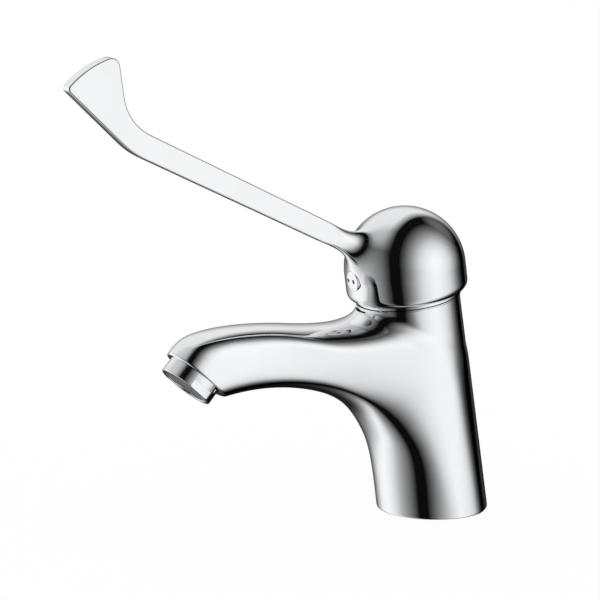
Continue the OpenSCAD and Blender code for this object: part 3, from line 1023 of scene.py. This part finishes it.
    def build(self) -> bpy.types.Object:
        """Cut the chamber, the waterways and the fixings out of the casting.

        Returns:
            The finished body.
        """
        body = self.skin()
        column, outlet = LAYOUT.column(), LAYOUT.outlet()
        deck = Seat((0, 0, 0), (1, 0, 0), (0, 1, 0), (0, 0, 1))
        seam, floor, top = LAYOUT.seam_h, self.floor_h, LAYOUT.rim_h + self.room
        low, out = seam - self.seam_edge, self.top_r + self.clear
        rim = [(0, seam), (self.top_r - self.seam_edge, seam), (self.top_r + self.seam_lip, low),
               (out, low), (out, top), (0, top)]
        cut(body,
            revolve("cutter", rim, column, LARGE),
            bore(column, self.chamber_r, floor, top, LARGE),
            bore(column, self.nut_r, self.neck_h, top, LARGE))
        start, end, duct = (LAYOUT.leaned((0, self.drop_y, h)) for h in (
            floor - self.drop_depth, floor + PAST, floor - self.duct_depth))
        cut(body,
            rod(start, end, self.drop_r),
            rod(duct, np.asarray(LAYOUT.lip) + self.duct_end, self.duct_r),
            bore(outlet, self.outlet_r, -self.outlet_depth, 2 * PAST, LARGE),
            bore(outlet, self.throat_r, -self.throat_depth, PAST, SMALL))
        for side in (-1, 1):
            x, y = side * self.inlet_x, self.inlet_y
            feed = LAYOUT.leaned((side * self.feed_x, self.feed_y, floor + PAST))
            cut(body,
                rod((x, y, -PAST), (x, y, self.inlet_depth), self.inlet_r),
                rod((x, y, self.inlet_depth - PAST), feed, self.feed_r))
        cut(body, rod((0, self.stud_y, -PAST), (0, self.stud_y, self.stud_depth), self.stud_r))
        near, far = self.groove
        groove = [(near, -PAST), (far, -PAST), (far, self.groove_depth), (near, self.groove_depth)]
        cut(body, revolve("cutter", groove, deck, LARGE))
        shade(body)
        polish(body, self.closed)
        return body


@dataclass
class LeverHandle:
    """The domed handle with its long flat elbow lever."""

    dome_r: float = 26.1
    skirt_r: float = 23.2
    skirt_h: float = 97.2
    edge_round: float = 4.0
    drop: float = 1.35
    length: float = 146.2
    stem_root: float = 8.6
    stem_end: float = 10.1
    thick: float = 6.0
    edge: float = 0.8
    fan_r: float = 40.5
    fan_low: float = 17.0
    fan_high: float = 55.0
    inside_r: float = 22.0
    bend_r: float = 40.0
    low_corner: float = 2.0
    high_corner: float = 4.0
    plate_from: float = 47.0
    root_blend: float = 10.0
    root_round: tuple[float, float] = (4.0, 20.0)
    root_oval: float = 0.95
    root_core: float = 5.0
    support: float = 0.4
    # Stations along the root: where a ring's rays start and how wide they spread
    root_marks: tuple[float, ...] = (0.0, 0.25, 0.5, 0.75, 1.0)
    root_from: tuple[float, ...] = (46.0, 31.0, 17.0, 6.0, 0.0)
    root_spread: tuple[float, ...] = (90.0, 34.0, 22.0, 17.5, 16.0)
    walk: tuple[float, float] = (45.0, 0.4)
    # How finely each stretch is divided
    flats: int = 40
    root_rings: int = 48
    dome_rings: int = 60
    stem_marks: tuple[float, float] = (0.3, 0.6)
    corner_chords: int = 10
    bend_chords: tuple[int, int, int] = (26, 24, 18)
    edge_chords: int = 8
    side_chords: int = 24
    skirt_chords: int = 14
    fall_chords: int = 7
    vault_chords: int = 40
    # The mouth, the bosses in the hollow, the stem's socket, the screw's hole and the button's seat
    mouth_r: float = 16.0
    boss: tuple[float, float] = (14.5, 44.0)
    boss_r: float = 8.0
    screw_boss: float = 30.0
    screw_boss_r: float = 5.5
    socket: tuple[float, float] = (-11.6, 27.5)
    socket_half: float = 4.05
    screw_end: float = 27.1
    screw_r: float = 3.05
    button: tuple[float, float] = (23.6, 34.0)
    button_r: float = 4.4

    def apex(self) -> np.ndarray:
        """Where the fan's straight edges meet, in the lever's plane."""
        return np.array([self.length, -self.drop - 0.5 * self.stem_end])

    def half(self, u: np.ndarray) -> np.ndarray:
        """Half height of the stem at u along the lever."""
        return 0.5 * mix(self.stem_root, self.stem_end, (u - self.dome_r) / (self.length - self.dome_r))

    def corner(self, side: float, r: float) -> np.ndarray:
        """Rounded corner between the fan's arc and one of its straight edges.

        Args:
            side: One for the upper edge and minus one for the lower.
            r: Radius of the corner.

        Returns:
            Points from the upper to the lower end of the corner.
        """
        edge = self.fan_high if side > 0 else self.fan_low
        reach = self.fan_r - r
        turn = edge - side * math.degrees(math.asin(r / reach))
        centre = self.apex() + reach * np.array(sin_cos(turn)[::-1])
        points = arc(centre, r, edge + side * 90.0, turn, self.corner_chords)
        return points if side > 0 else points[::-1]

    def outline(self) -> np.ndarray:
        """Edge of the plate from the stem's top, round the fan, to the stem's underside.

        Returns:
            Points in the lever's plane.
        """
        apex = self.apex()
        u0 = self.plate_from
        top = np.array([u0, -self.drop + self.half(u0)])
        bottom = np.array([u0, -self.drop - self.half(u0)])
        slope = 0.5 * (self.stem_end - self.stem_root) / (self.length - self.dome_r)
        rise = math.tan(math.radians(self.fan_high))
        u = (top[1] - slope * u0 - apex[1] + rise * apex[0]) / (rise - slope)
        inside = np.array([u, top[1] + slope * (u - u0)])
        ends = [apex + self.fan_r * np.array(sin_cos(a)[::-1]) for a in (self.fan_high, self.fan_low)]
        high = self.corner(1.0, self.high_corner)
        low = self.corner(-1.0, self.low_corner)
        first, last = high[-1] - apex, low[0] - apex
        swing = [math.degrees(math.atan2(v[1], v[0])) for v in (first, last)]
        stem = [mix(top, inside, t) for t in (0.0, *self.stem_marks)]
        back = [mix(apex, bottom, t) for t in (*self.stem_marks, 1.0)]
        chords = self.bend_chords
        return np.vstack([
            stem, fillet(top, inside, ends[0], self.inside_r, chords[0]), high,
            arc(apex, self.fan_r, swing[0], swing[1], chords[1])[1:-1], low,
            fillet(ends[1], apex, bottom, self.bend_r, chords[2]), back])

    def profile(self) -> np.ndarray:
        """Section of the plate's edge: how far in from the outline, and the place through it.

        Returns:
            Points from the front face over the edge to the back face.
        """
        b = 0.5 * self.thick
        e = self.edge
        turn = np.radians(np.linspace(0.0, 90.0, self.edge_chords + 1))
        front = np.column_stack([e - e * np.sin(turn), b - e + e * np.cos(turn)])
        through = np.linspace(b - e, e - b, self.side_chords + 1)[1:-1]
        side = np.column_stack([np.zeros_like(through), through])
        back = np.column_stack([front[::-1, 0], -front[::-1, 1]])
        return np.vstack([[e + self.support, b], front, side, back, [e + self.support, -b]])

    def plate(self) -> tuple[np.ndarray, Faces, list[int]]:
        """The stem's outer stretch and the fan.

        Returns:
            Points in the lever's seat, faces, and the numbers of the open ring at the root.
        """
        line = self.outline()
        way = np.gradient(line, axis=0)
        chords = unit(np.diff(line, axis=0))
        way[1:-1] = chords[1:] + chords[:-1]
        way[0] = (1.0, 0.0)
        way[-1] = (-1.0, 0.0)
        way = unit(way)
        inward = np.column_stack([way[:, 1], -way[:, 0]])
        shape = self.profile()
        flat = line[:, None, :] + shape[None, :, 0, None] * inward[:, None, :]
        depth = np.broadcast_to(shape[None, :, 1, None], flat.shape[:2] + (1,))
        points = np.concatenate([flat, depth], axis=2).reshape(-1, 3)
        n, m = len(line), len(shape)
        faces = [[i * m + j, (i + 1) * m + j, (i + 1) * m + j + 1, i * m + j + 1]
                 for i in range(n - 1) for j in range(m - 1)]
        share = np.linspace(0.0, 1.0, self.flats + 1)[1:-1, None]
        behind = mix(points[m - 1], points[n * m - 1], share)
        ahead = mix(points[(n - 1) * m], points[0], share)
        first = len(points)
        behind_ids = list(range(first, first + len(behind)))
        ahead_ids = list(range(first + len(behind), first + len(behind) + len(ahead)))
        faces.append([i * m for i in range(n)] + ahead_ids)
        faces.append([i * m + m - 1 for i in range(n)] + behind_ids[::-1])
        ring = list(range(m)) + behind_ids
        ring += [(n - 1) * m + j for j in range(m - 1, -1, -1)] + ahead_ids
        return np.vstack([points, behind, ahead]), faces, ring

    def root_form(self, p: np.ndarray) -> np.ndarray:
        """Signed distance to the dome and the stem's root, blended together.

        Args:
            p: Points in the lever's seat.

        Returns:
            A distance for each point.
        """
        u, v, w = p[..., 0], p[..., 1], p[..., 2]
        b = 0.5 * self.thick
        a = self.half(u)
        flat = ease(self.root_round[0], self.root_round[1], u - self.dome_r)
        r = mix(self.root_oval * b, self.edge, flat)
        dv = np.abs(v + self.drop) - a + r
        dw = np.abs(w) - b + r
        bar = np.hypot(np.maximum(dv, 0.0), np.maximum(dw, 0.0))
        bar = bar + np.minimum(np.maximum(dv, dw), 0.0) - r
        oval = (np.hypot((v + self.drop) / a, w / b) - 1.0) * b
        stem = np.maximum(mix(oval, bar, flat), self.root_core - u)
        return soft_min(stem, np.linalg.norm(p, axis=-1) - self.dome_r, self.root_blend)

    def root(self, ring: np.ndarray) -> tuple[np.ndarray, np.ndarray]:
        """Rings from the plate down the stem's root and over the dome to its widest line.

        Args:
            ring: The plate's open ring.

        Returns:
            Rings of points in the lever's seat, and the azimuth of each spoke.
        """
        around = unit(ring[:, 1:] + np.array([self.drop, 0.0]))
        s = np.linspace(0.0, 1.0, self.root_rings)
        start = np.interp(s, self.root_marks, self.root_from)
        spread = np.radians(np.interp(s, self.root_marks, self.root_spread))
        dirs = np.empty((len(s), len(ring), 3))
        dirs[..., 0] = np.cos(spread)[:, None]
        dirs[..., 1:] = np.sin(spread)[:, None, None] * around
        origins = np.zeros_like(dirs)
        origins[..., 0] = start[:, None]
        origins[..., 1] = -self.drop
        neck = trace(self.root_form, origins, dirs, *self.walk)
        begin = unit(neck[-1])
        azimuth = np.arctan2(around[:, 1], -around[:, 0])
        end = self.level(azimuth, 1.0, 0.0)
        angle = np.arccos(np.clip(np.sum(begin * end, axis=1), -1.0, 1.0))
        share = np.linspace(0.0, 1.0, self.dome_rings)[1:, None]
        low = np.sin((1.0 - share) * angle) / np.sin(angle)
        high = np.sin(share * angle) / np.sin(angle)
        sweep = low[..., None] * begin + high[..., None] * end
        dome = trace(self.root_form, np.zeros_like(sweep), sweep, *self.walk)
        return np.concatenate([neck, dome]), azimuth

    def level(self, azimuth: np.ndarray, r: float, h: float) -> np.ndarray:
        """A ring of points round the dome's axis.

        Args:
            azimuth: Angle of each point in radians, from the front.
            r: Radius of the ring.
            h: Its height over the dome's widest line.

        Returns:
            Points in the lever's seat.
        """
        s, c = sin_cos(LAYOUT.lever_rise)
        front = r * np.cos(azimuth)
        return np.column_stack([c * front + s * h, -s * front + c * h, r * np.sin(azimuth)])

    def skin(self) -> bpy.types.Object:
        """The outside of the handle.

        Returns:
            A closed mesh.
        """
        points, faces, ring = self.plate()
        rings, azimuth = self.root(points[ring])
        base = self.skirt_h - LAYOUT.equator_h
        e = self.edge_round
        turn = arc((self.dome_r - e, base + e), e, 0.0, -90.0, self.skirt_chords).tolist()
        fall = [(self.dome_r, h) for h in np.linspace(0.0, base + e, self.fall_chords + 1)[1:-1]]
        lower = [self.level(azimuth, r, h) for r, h in fall + turn + [(self.mouth_r, base)]]
        rings = np.concatenate([rings, np.array(lower)])
        count = len(ring)
        start = len(points)
        for j in range(count):
            k = (j + 1) % count
            faces.append([ring[j], ring[k], start + k, start + j])
        faces += ring_faces(len(rings), count, start)
        last = start + (len(rings) - 1) * count
        faces.append([last + j for j in range(count)])
        every = np.vstack([points, rings.reshape(-1, 3)])
        return make_object("lever_handle_shell", LAYOUT.lever().put(every), faces)

    def build(self) -> bpy.types.Object:
        """Hollow the handle round its boss and cut the socket, screw hole and button seat.

        Returns:
            The finished handle.
        """
        handle = self.skin()
        column, stem, front = LAYOUT.column(), LAYOUT.stem(), LAYOUT.front()
        low, half = self.skirt_h - PAST, self.socket_half
        vault = arc((0.0, LAYOUT.equator_h), self.skirt_r, 0.0, 90.0, self.vault_chords).tolist()
        vault[-1][0] = 0.0
        hollow = revolve("cutter", [(0, low), (self.skirt_r, low)] + vault, column, FINE)
        cut(hollow,
            drill(stem, *self.boss, self.boss_r),
            drill(front, 0.0, self.screw_boss, self.screw_boss_r))
        cut(handle, hollow,
            block(stem, (-half, -half, self.socket[0]), (half, half, self.socket[1])),
            drill(front, 0.0, self.screw_end, self.screw_r),
            drill(front, *self.button, self.button_r, SMALL))
        shade(handle)
        return handle


@dataclass
class Outlet:
    """The aerator: a chromed sleeve with two spanner flats round a perforated insert."""

    sleeve_r: float = 11.9
    wall: float = 1.7
    inside: float = 7.0
    outside: float = 6.4
    edge: float = 0.4
    edge_chords: int = 6
    flat_depth: float = 1.0
    flat_len: float = 3.4
    insert_back: float = 1.0
    slip: float = 0.1
    cup_wall: float = 1.5
    cup_edge: float = 0.3
    cup_rim: float = 1.2
    recess: float = 0.5
    plate: float = 1.5
    hub_r: float = 0.4
    margin: float = 2.6
    holes: int = 9
    hole_step: float = 2.4
    ring_r: float = 0.98
    ring_sides: int = 16
    ring_wire: float = 0.2
    wire_sides: int = 8

    def sleeve(self) -> bpy.types.Object:
        """The sleeve, with rounded ends and its flats.

        Returns:
            The finished sleeve.
        """
        r, inner, e = self.sleeve_r, self.sleeve_r - self.wall, self.edge
        rim = arc((r - e, self.outside - e), e, 0.0, 90.0, self.edge_chords).tolist()
        rim += arc((inner + e, self.outside - e), e, 90.0, 180.0, self.edge_chords).tolist()
        seat = LAYOUT.outlet()
        made = revolve("aerator_sleeve", [(inner, -self.inside), (r, -self.inside)] + rim, seat, FINE)
        low, high = self.outside - self.flat_len, self.outside + PAST
        for side in (-1, 1):
            near, far = sorted((side * (r - self.flat_depth), side * 2.0 * r))
            cut(made, block(seat, (near, -r, low), (far, r, high)))
        shade(made)
        return made

    def insert(self) -> bpy.types.Object:
        """The insert: a cup whose face carries a field of small ringed holes.

        Returns:
            The finished insert.
        """
        r = self.sleeve_r - self.wall - self.slip
        face = self.outside - self.insert_back
        inner, edge, mesh = r - self.cup_wall, self.cup_edge, face - self.recess
        back = mesh - self.plate
        cup = [(inner, -self.inside), (r, -self.inside), (r, face - edge), (r - edge, face),
               (r - self.cup_rim, face), (inner, mesh), (self.hub_r, mesh), (self.hub_r, back),
               (inner, back)]
        seat = LAYOUT.outlet()
        made = revolve("aerator_insert_mesh", cup, seat, SMALL)
        tree = self.tree()
        step = made.modifiers.new("rings", "NODES")
        step.node_group = tree
        turn = Matrix(np.column_stack([seat.x, seat.y, seat.z]).tolist())
        given = {"Field radius": (r - self.margin) * MM, "Hole step": self.hole_step * MM,
                 "Ring radius": self.ring_r * MM, "Wire": self.ring_wire * MM,
                 "Centre": (seat.put((0, 0, mesh)) * MM).tolist(), "Turn": list(turn.to_euler())}
        for item in tree.interface.items_tree:
            if item.name in given:
                step[item.identifier] = given[item.name]
        bake(made)
        shade(made)
        return made

    def tree(self) -> bpy.types.NodeTree:
        """Geometry nodes that set a ring at each hole of a round field.

        Returns:
            The node group.
        """
        tree = bpy.data.node_groups.new("aerator_rings", "GeometryNodeTree")
        sockets = tree.interface
        sockets.new_socket("Geometry", in_out="OUTPUT", socket_type="NodeSocketGeometry")
        sockets.new_socket("Cup", in_out="INPUT", socket_type="NodeSocketGeometry")
        for name in ("Field radius", "Hole step", "Ring radius", "Wire"):
            sockets.new_socket(name, in_out="INPUT", socket_type="NodeSocketFloat")
        for name in ("Centre", "Turn"):
            sockets.new_socket(name, in_out="INPUT", socket_type="NodeSocketVector")
        given = add_node(tree, "NodeGroupInput").outputs
        span = math_node(tree, "MULTIPLY", given["Hole step"], self.holes - 1.0)
        points = add_node(tree, "GeometryNodeMeshGrid",
                          {"Size X": span, "Size Y": span,
                           "Vertices X": self.holes, "Vertices Y": self.holes})
        place = add_node(tree, "GeometryNodeInputPosition")
        far = add_node(tree, "ShaderNodeVectorMath", {0: place.outputs[0]}, operation="LENGTH")
        beyond = add_node(tree, "FunctionNodeCompare",
                          {0: far.outputs["Value"], 1: given["Field radius"]}, operation="GREATER_THAN")
        kept = add_node(tree, "GeometryNodeDeleteGeometry",
                        {"Geometry": points.outputs["Mesh"], "Selection": beyond.outputs[0]})
        ring = add_node(tree, "GeometryNodeCurvePrimitiveCircle",
                        {"Resolution": self.ring_sides, "Radius": given["Ring radius"]})
        wire = add_node(tree, "GeometryNodeCurvePrimitiveCircle",
                        {"Resolution": self.wire_sides, "Radius": given["Wire"]})
        bead = add_node(tree, "GeometryNodeCurveToMesh",
                        {"Curve": ring.outputs["Curve"], "Profile Curve": wire.outputs["Curve"]})
        copies = add_node(tree, "GeometryNodeInstanceOnPoints",
                          {"Points": kept.outputs[0], "Instance": bead.outputs[0]})
        seated = add_node(tree, "GeometryNodeTransform",
                          {"Geometry": copies.outputs[0], "Translation": given["Centre"],
                           "Rotation": given["Turn"]})
        real = add_node(tree, "GeometryNodeRealizeInstances", {"Geometry": seated.outputs[0]})
        joined = add_node(tree, "GeometryNodeJoinGeometry")
        tree.links.new(given["Cup"], joined.inputs[0])
        tree.links.new(real.outputs[0], joined.inputs[0])
        dressed = add_node(tree, "GeometryNodeSetMaterial", {"Geometry": joined.outputs[0]})
        dressed.inputs["Material"].default_value = bpy.data.materials[NYLON.name]
        add_node(tree, "NodeGroupOutput", {0: dressed.outputs[0]})
        return tree


@dataclass
class IndexButton:
    """The plug in the dome's front with its red and blue dots."""

    dome_r: float = LeverHandle.dome_r
    r: float = 4.35
    proud: float = 0.8
    seat: float = 2.5
    edge: float = 0.35
    edge_chords: int = 8
    dot_r: float = 0.9
    dot_t: float = 0.3
    dot_x: tuple[float, float] = (-3.0, 1.0)
    dot_crown: float = 0.1
    dot_round: float = 80.0
    dot_chords: int = 6
    slip: float = 0.05
    shank_r: float = 2.9
    shank_len: float = 3.0

    def plug(self) -> bpy.types.Object:
        """The plug with its rounded face edge and its two dot seats.

        Returns:
            The finished plug.
        """
        face = self.dome_r + self.proud
        low = self.dome_r - self.seat
        e = self.edge
        rim = arc((self.r - e, face - e), e, 0.0, 90.0, self.edge_chords).tolist()
        end = low - self.shank_len
        shape = [(0, end), (self.shank_r, end), (self.shank_r, low), (self.r, low)] + rim + [(0, face)]
        front = LAYOUT.front()
        made = revolve("index_plug", shape, front, SMALL)
        for x in self.dot_x:
            cut(made, drill(front.moved(x), face - self.dot_t, face + PAST, self.dot_r + self.slip))
        shade(made)
        return made

    def dot(self, name: str, x: float) -> bpy.types.Object:
        """A drop of enamel let into the plug's face.

        Args:
            name: Name of the piece.
            x: Place across the plug.

        Returns:
            The finished drop.
        """
        face = self.dome_r + self.proud
        low, edge = face - self.dot_t, face - self.dot_crown
        crown = [(self.dot_r * math.cos(a), edge + self.dot_crown * math.sin(a))
                 for a in np.radians(np.linspace(0.0, self.dot_round, self.dot_chords + 1))]
        shape = [(0, low), (self.dot_r, low)] + crown + [(0, face)]
        made = revolve(name, shape, LAYOUT.front().moved(x), DOT)
        shade(made)
        return made


@dataclass
class Shroud:
    """The chromed cap over the cartridge, seen under the dome when the lever lifts."""

    r: float = 22.4
    ring_r: float = 22.6
    wall: float = 1.5
    top: float = 102.0
    hole: float = 11.0
    spigot_r: float = 20.5
    spigot_in: float = 19.1
    spigot_low: float = 91.2
    groove_h: float = 93.5
    groove_r: float = 0.75
    outer_chords: int = 16
    inner_chords: int = 12
    groove_chords: int = 10
    ledge: float = 1.5
    ring_edge: float = 0.3
    ring_gap: float = 0.2

    def build(self) -> bpy.types.Object:
        """Turn the cap round the column's axis.

        Returns:
            The finished cap.
        """
        pivot, rim = LAYOUT.pivot_h, LAYOUT.rim_h
        start = math.degrees(math.asin((rim - pivot) / self.r))
        end = math.degrees(math.asin((self.top - pivot) / self.r))
        outer = arc((0.0, pivot), self.r, start, end, self.outer_chords).tolist()
        inner_r = self.r - self.wall
        high = math.degrees(math.asin((self.top - self.wall - pivot) / inner_r))
        low = math.degrees(math.asin((rim + self.ledge - pivot) / inner_r))
        inner = arc((0.0, pivot), inner_r, high, low, self.inner_chords).tolist()
        middle = (self.spigot_r, self.groove_h)
        groove = arc(middle, self.groove_r, 270.0, 90.0, self.groove_chords).tolist()
        shape = [(self.spigot_in, self.spigot_low), (self.spigot_r, self.spigot_low)] + groove
        seam = LAYOUT.seam_h
        ring = [(self.ring_r - self.ring_edge, seam), (self.ring_r, seam + self.ring_edge),
                (self.ring_r, rim - self.ring_gap)]
        shape += [(self.spigot_r, seam)] + ring + outer
        shape += [(self.hole, self.top), (self.hole, self.top - self.wall)]
        shape += inner + [(self.spigot_in, rim + self.ledge)]
        made = revolve("shroud_cap", shape, LAYOUT.column(), FINE)
        shade(made)
        return made


@dataclass
class Studio:
    """Camera, floor and the soft light round the tap."""

    place: tuple[float, float, float] = (1.1168, -0.7500, 0.3829)
    azimuth: float = 58.57
    elevation: float = 12.23
    lens: float = 191.39
    sensor: float = 36.0
    key: tuple[float, float] = (60.0, 10.0)
    glow: tuple[tuple[float, float], ...] = (
        (0, 1.08), (9, 1.07), (16, 1.0), (22, 0.92), (28, 0.83), (34, 0.71), (41, 0.52), (47, 0.36),
        (54, 0.22), (60, 0.12), (65, 0.06), (69, 0.02), (71, 0.004), (88, 0.004), (93, 0.05), (103, 0.17),
        (114, 0.30), (125, 0.46), (139, 0.76), (150, 0.94), (164, 1.08), (180, 1.06))
    rear: tuple[float, float] = (180.0, 30.0)
    rear_glow: tuple[tuple[float, float], ...] = (
        (0, 0.92), (45, 0.88), (58, 0.7), (72, 0.35), (86, 0.0), (180, 0.0))
    rear_mask: tuple[tuple[float, float], ...] = ((0, 0.0), (84, 0.0), (97, 1.0), (180, 1.0))
    left: tuple[float, float] = (-110.0, 50.0)
    left_glow: tuple[tuple[float, float], ...] = (
        (0, 0.72), (16, 0.64), (32, 0.44), (42, 0.22), (52, 0.05), (60, 0.0), (180, 0.0))
    spill: tuple[float, float] = (132.0, 34.0)
    spill_glow: tuple[tuple[float, float], ...] = ((0, 0.16), (12, 0.12), (24, 0.0), (180, 0.0))
    below: tuple[float, float] = (165.0, -34.0)
    below_mask: tuple[tuple[float, float], ...] = (
        (0, 0.02), (22, 0.03), (30, 0.12), (40, 0.32), (50, 0.6), (62, 0.95), (72, 1.0), (180, 1.0))
    low_squeeze: float = 0.2
    fill: float = 0.95
    floor_half: float = 3.0
    floor_share: float = 0.06

    def axes(self) -> tuple[np.ndarray, np.ndarray, np.ndarray]:
        """Where the camera's own axes point.

        Returns:
            Its right, up and backward directions.
        """
        turn, level = sin_cos(self.azimuth), sin_cos(self.elevation)
        away = np.array([turn[0], -turn[1], 0.0])
        right = np.array([turn[1], turn[0], 0.0])
        up = np.array([0.0, 0.0, 1.0])
        return right, level[1] * up - level[0] * away, level[1] * away + level[0] * up

    def towards(self, angles: Sequence[float]) -> tuple[float, float, float]:
        """A direction from its turn to the camera's right and its height over the horizon.

        Args:
            angles: Both angles in degrees.

        Returns:
            A unit vector.
        """
        s, c = sin_cos(self.azimuth + angles[0])
        high, level = sin_cos(angles[1])
        return s * level, -c * level, high

    def camera(self) -> None:
        """Make the camera at the photograph's viewing angle."""
        data = bpy.data.cameras.new("camera")
        data.lens = self.lens
        data.sensor_width = self.sensor
        obj = link("camera", data)
        rows = zip(*(axis.tolist() for axis in self.axes()), self.place)
        obj.matrix_world = Matrix([list(row) for row in rows] + [[0, 0, 0, 1]])
        bpy.context.scene.camera = obj

    def lamp(self, tree: bpy.types.NodeTree, way: bpy.types.NodeSocket, angles: Sequence[float],
             stops: Sequence[Sequence[float]]) -> bpy.types.NodeSocket:
        """Brightness of the world by its angle from a direction.

        Args:
            tree: The world's tree.
            way: Unit direction that is looked along.
            angles: Turn and height of the lamp's middle in degrees.
            stops: Angle in degrees and brightness.

        Returns:
            The brightness.
        """
        dot = add_node(tree, "ShaderNodeVectorMath", {0: way, 1: self.towards(angles)},
                       operation="DOT_PRODUCT")
        angle = math_node(tree, "ARCCOSINE", dot.outputs["Value"])
        ramp = add_node(tree, "ShaderNodeValToRGB", {0: math_node(tree, "DIVIDE", angle, math.pi)})
        while len(ramp.color_ramp.elements) < len(stops):
            ramp.color_ramp.elements.new(0.5)
        for element, (degrees, value) in zip(ramp.color_ramp.elements, stops):
            element.position = degrees / 180.0
            element.color = (value, value, value, 1.0)
        return ramp.outputs[0]

    def light(self) -> None:
        """Make the world: white behind the tap and soft panels with dark gaps round it."""
        world = bpy.data.worlds.new("studio")
        bpy.context.scene.world = world
        tree = fresh_tree(world)
        place = add_node(tree, "ShaderNodeTexCoord").outputs["Generated"]
        way = add_node(tree, "ShaderNodeVectorMath", {0: place}, operation="NORMALIZE").outputs[0]
        # The table carries the key panel's light on below the horizon
        parts = add_node(tree, "ShaderNodeSeparateXYZ", {0: way}).outputs
        over = math_node(tree, "MAXIMUM", parts[2], 0.0)
        under = math_node(tree, "MINIMUM", parts[2], 0.0)
        height = math_node(tree, "MULTIPLY_ADD", under, self.low_squeeze, over)
        bent = add_node(tree, "ShaderNodeCombineXYZ", {0: parts[0], 1: parts[1], 2: height})
        low_way = add_node(tree, "ShaderNodeVectorMath", {0: bent.outputs[0]}, operation="NORMALIZE")
        lit = self.lamp(tree, low_way.outputs[0], self.key, self.glow)
        mask = self.lamp(tree, way, self.key, self.rear_mask)
        for angles, glow in ((self.rear, self.rear_glow), (self.left, self.left_glow)):
            held = math_node(tree, "MULTIPLY", self.lamp(tree, way, angles, glow), mask)
            lit = math_node(tree, "MAXIMUM", lit, held)
        lit = math_node(tree, "MAXIMUM", lit, self.lamp(tree, way, self.spill, self.spill_glow))
        both = math_node(tree, "MULTIPLY", lit, self.lamp(tree, way, self.below, self.below_mask))
        ray = add_node(tree, "ShaderNodeLightPath").outputs
        mirror = math_node(tree, "MAXIMUM", ray["Is Glossy Ray"], ray["Is Transmission Ray"])
        seen = add_node(tree, "ShaderNodeMix", {0: mirror, 2: self.fill, 3: both})
        shown = add_node(tree, "ShaderNodeMix", {0: ray["Is Camera Ray"], 2: seen.outputs[0], 3: 1.0})
        sky = add_node(tree, "ShaderNodeBackground",
                       {"Color": linear("#FFFFFF"), "Strength": shown.outputs[0]})
        add_node(tree, "ShaderNodeOutputWorld", {"Surface": sky.outputs[0]})

    def floor(self) -> None:
        """Make the white floor, which keeps the tap's soft shadow."""
        made = bpy.data.materials.new("white_sweep")
        tree = fresh_tree(made)
        glow = add_node(tree, "ShaderNodeEmission", {"Strength": 1.0})
        matt = add_node(tree, "ShaderNodeBsdfDiffuse", {"Color": linear("#FFFFFF")})
        both = add_node(tree, "ShaderNodeMixShader",
                        {0: self.floor_share, 1: glow.outputs[0], 2: matt.outputs[0]})
        add_node(tree, "ShaderNodeOutputMaterial", {"Surface": both.outputs[0]})
        s = self.floor_half
        mesh = bpy.data.meshes.new("floor")
        mesh.from_pydata([(-s, -s, 0.0), (s, -s, 0.0), (s, s, 0.0), (-s, s, 0.0)], [], [[0, 1, 2, 3]])
        mesh.materials.append(made)
        obj = link("floor", mesh)
        obj.visible_glossy = False
        obj.visible_diffuse = False

    def build(self) -> None:
        """Set up the camera, the light and the floor."""
        bpy.context.scene.view_settings.view_transform = "Standard"
        self.camera()
        self.light()
        self.floor()


KEPT_NODES = {
    "base_gasket": Slot.RUBBER, "aerator_washer": Slot.RUBBER, "cartridge_base": Slot.PALE_PLASTIC,
    "inlet_seals": Slot.RUBBER, "port_seals": Slot.RUBBER, "fixed_disc": Slot.CERAMIC,
    "moving_disc": Slot.CERAMIC, "disc_carrier": Slot.GREY_PLASTIC,
    "cartridge_housing": Slot.PALE_PLASTIC, "cartridge_rotor": Slot.GREY_PLASTIC,
    "lever_stem": Slot.STEEL, "stem_pin": Slot.STEEL, "temperature_limiter": Slot.RED,
    "nut_washer": Slot.STEEL, "retaining_nut": Slot.BRASS, "shroud_o_ring": Slot.RUBBER,
    "grub_screw": Slot.STEEL,
}


def main() -> None:
    """Build the studio and every piece."""
    logging.basicConfig(level=logging.INFO, format="%(message)s")
    Studio().build()
    wardrobe = Wardrobe()
    for node, slot in KEPT_NODES.items():
        wardrobe.dress(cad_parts[node], slot)
        log.info("%s: kept, dressed in %s", node, slot.value)
    wardrobe.place(CastBody().build(), Slot.CHROME, Body.TAP, "mixer_body")
    wardrobe.place(Shroud().build(), Slot.CHROME, Body.TAP, "shroud")
    outlet = Outlet()
    wardrobe.place(outlet.sleeve(), Slot.CHROME, Body.TAP, "aerator_housing")
    wardrobe.place(outlet.insert(), Slot.GREY_PLASTIC, Body.TAP, "aerator_insert")
    wardrobe.place(LeverHandle().build(), Slot.CHROME, Body.HANDLE, "lever_handle")
    button = IndexButton()
    wardrobe.place(button.plug(), Slot.CHROME, Body.HANDLE, "index_button")
    wardrobe.place(button.dot("hot_enamel", button.dot_x[0]), Slot.RED, Body.HANDLE, "hot_dot")
    wardrobe.place(button.dot("cold_enamel", button.dot_x[1]), Slot.BLUE, Body.HANDLE, "cold_dot")


if __name__ == "__main__":
    main()
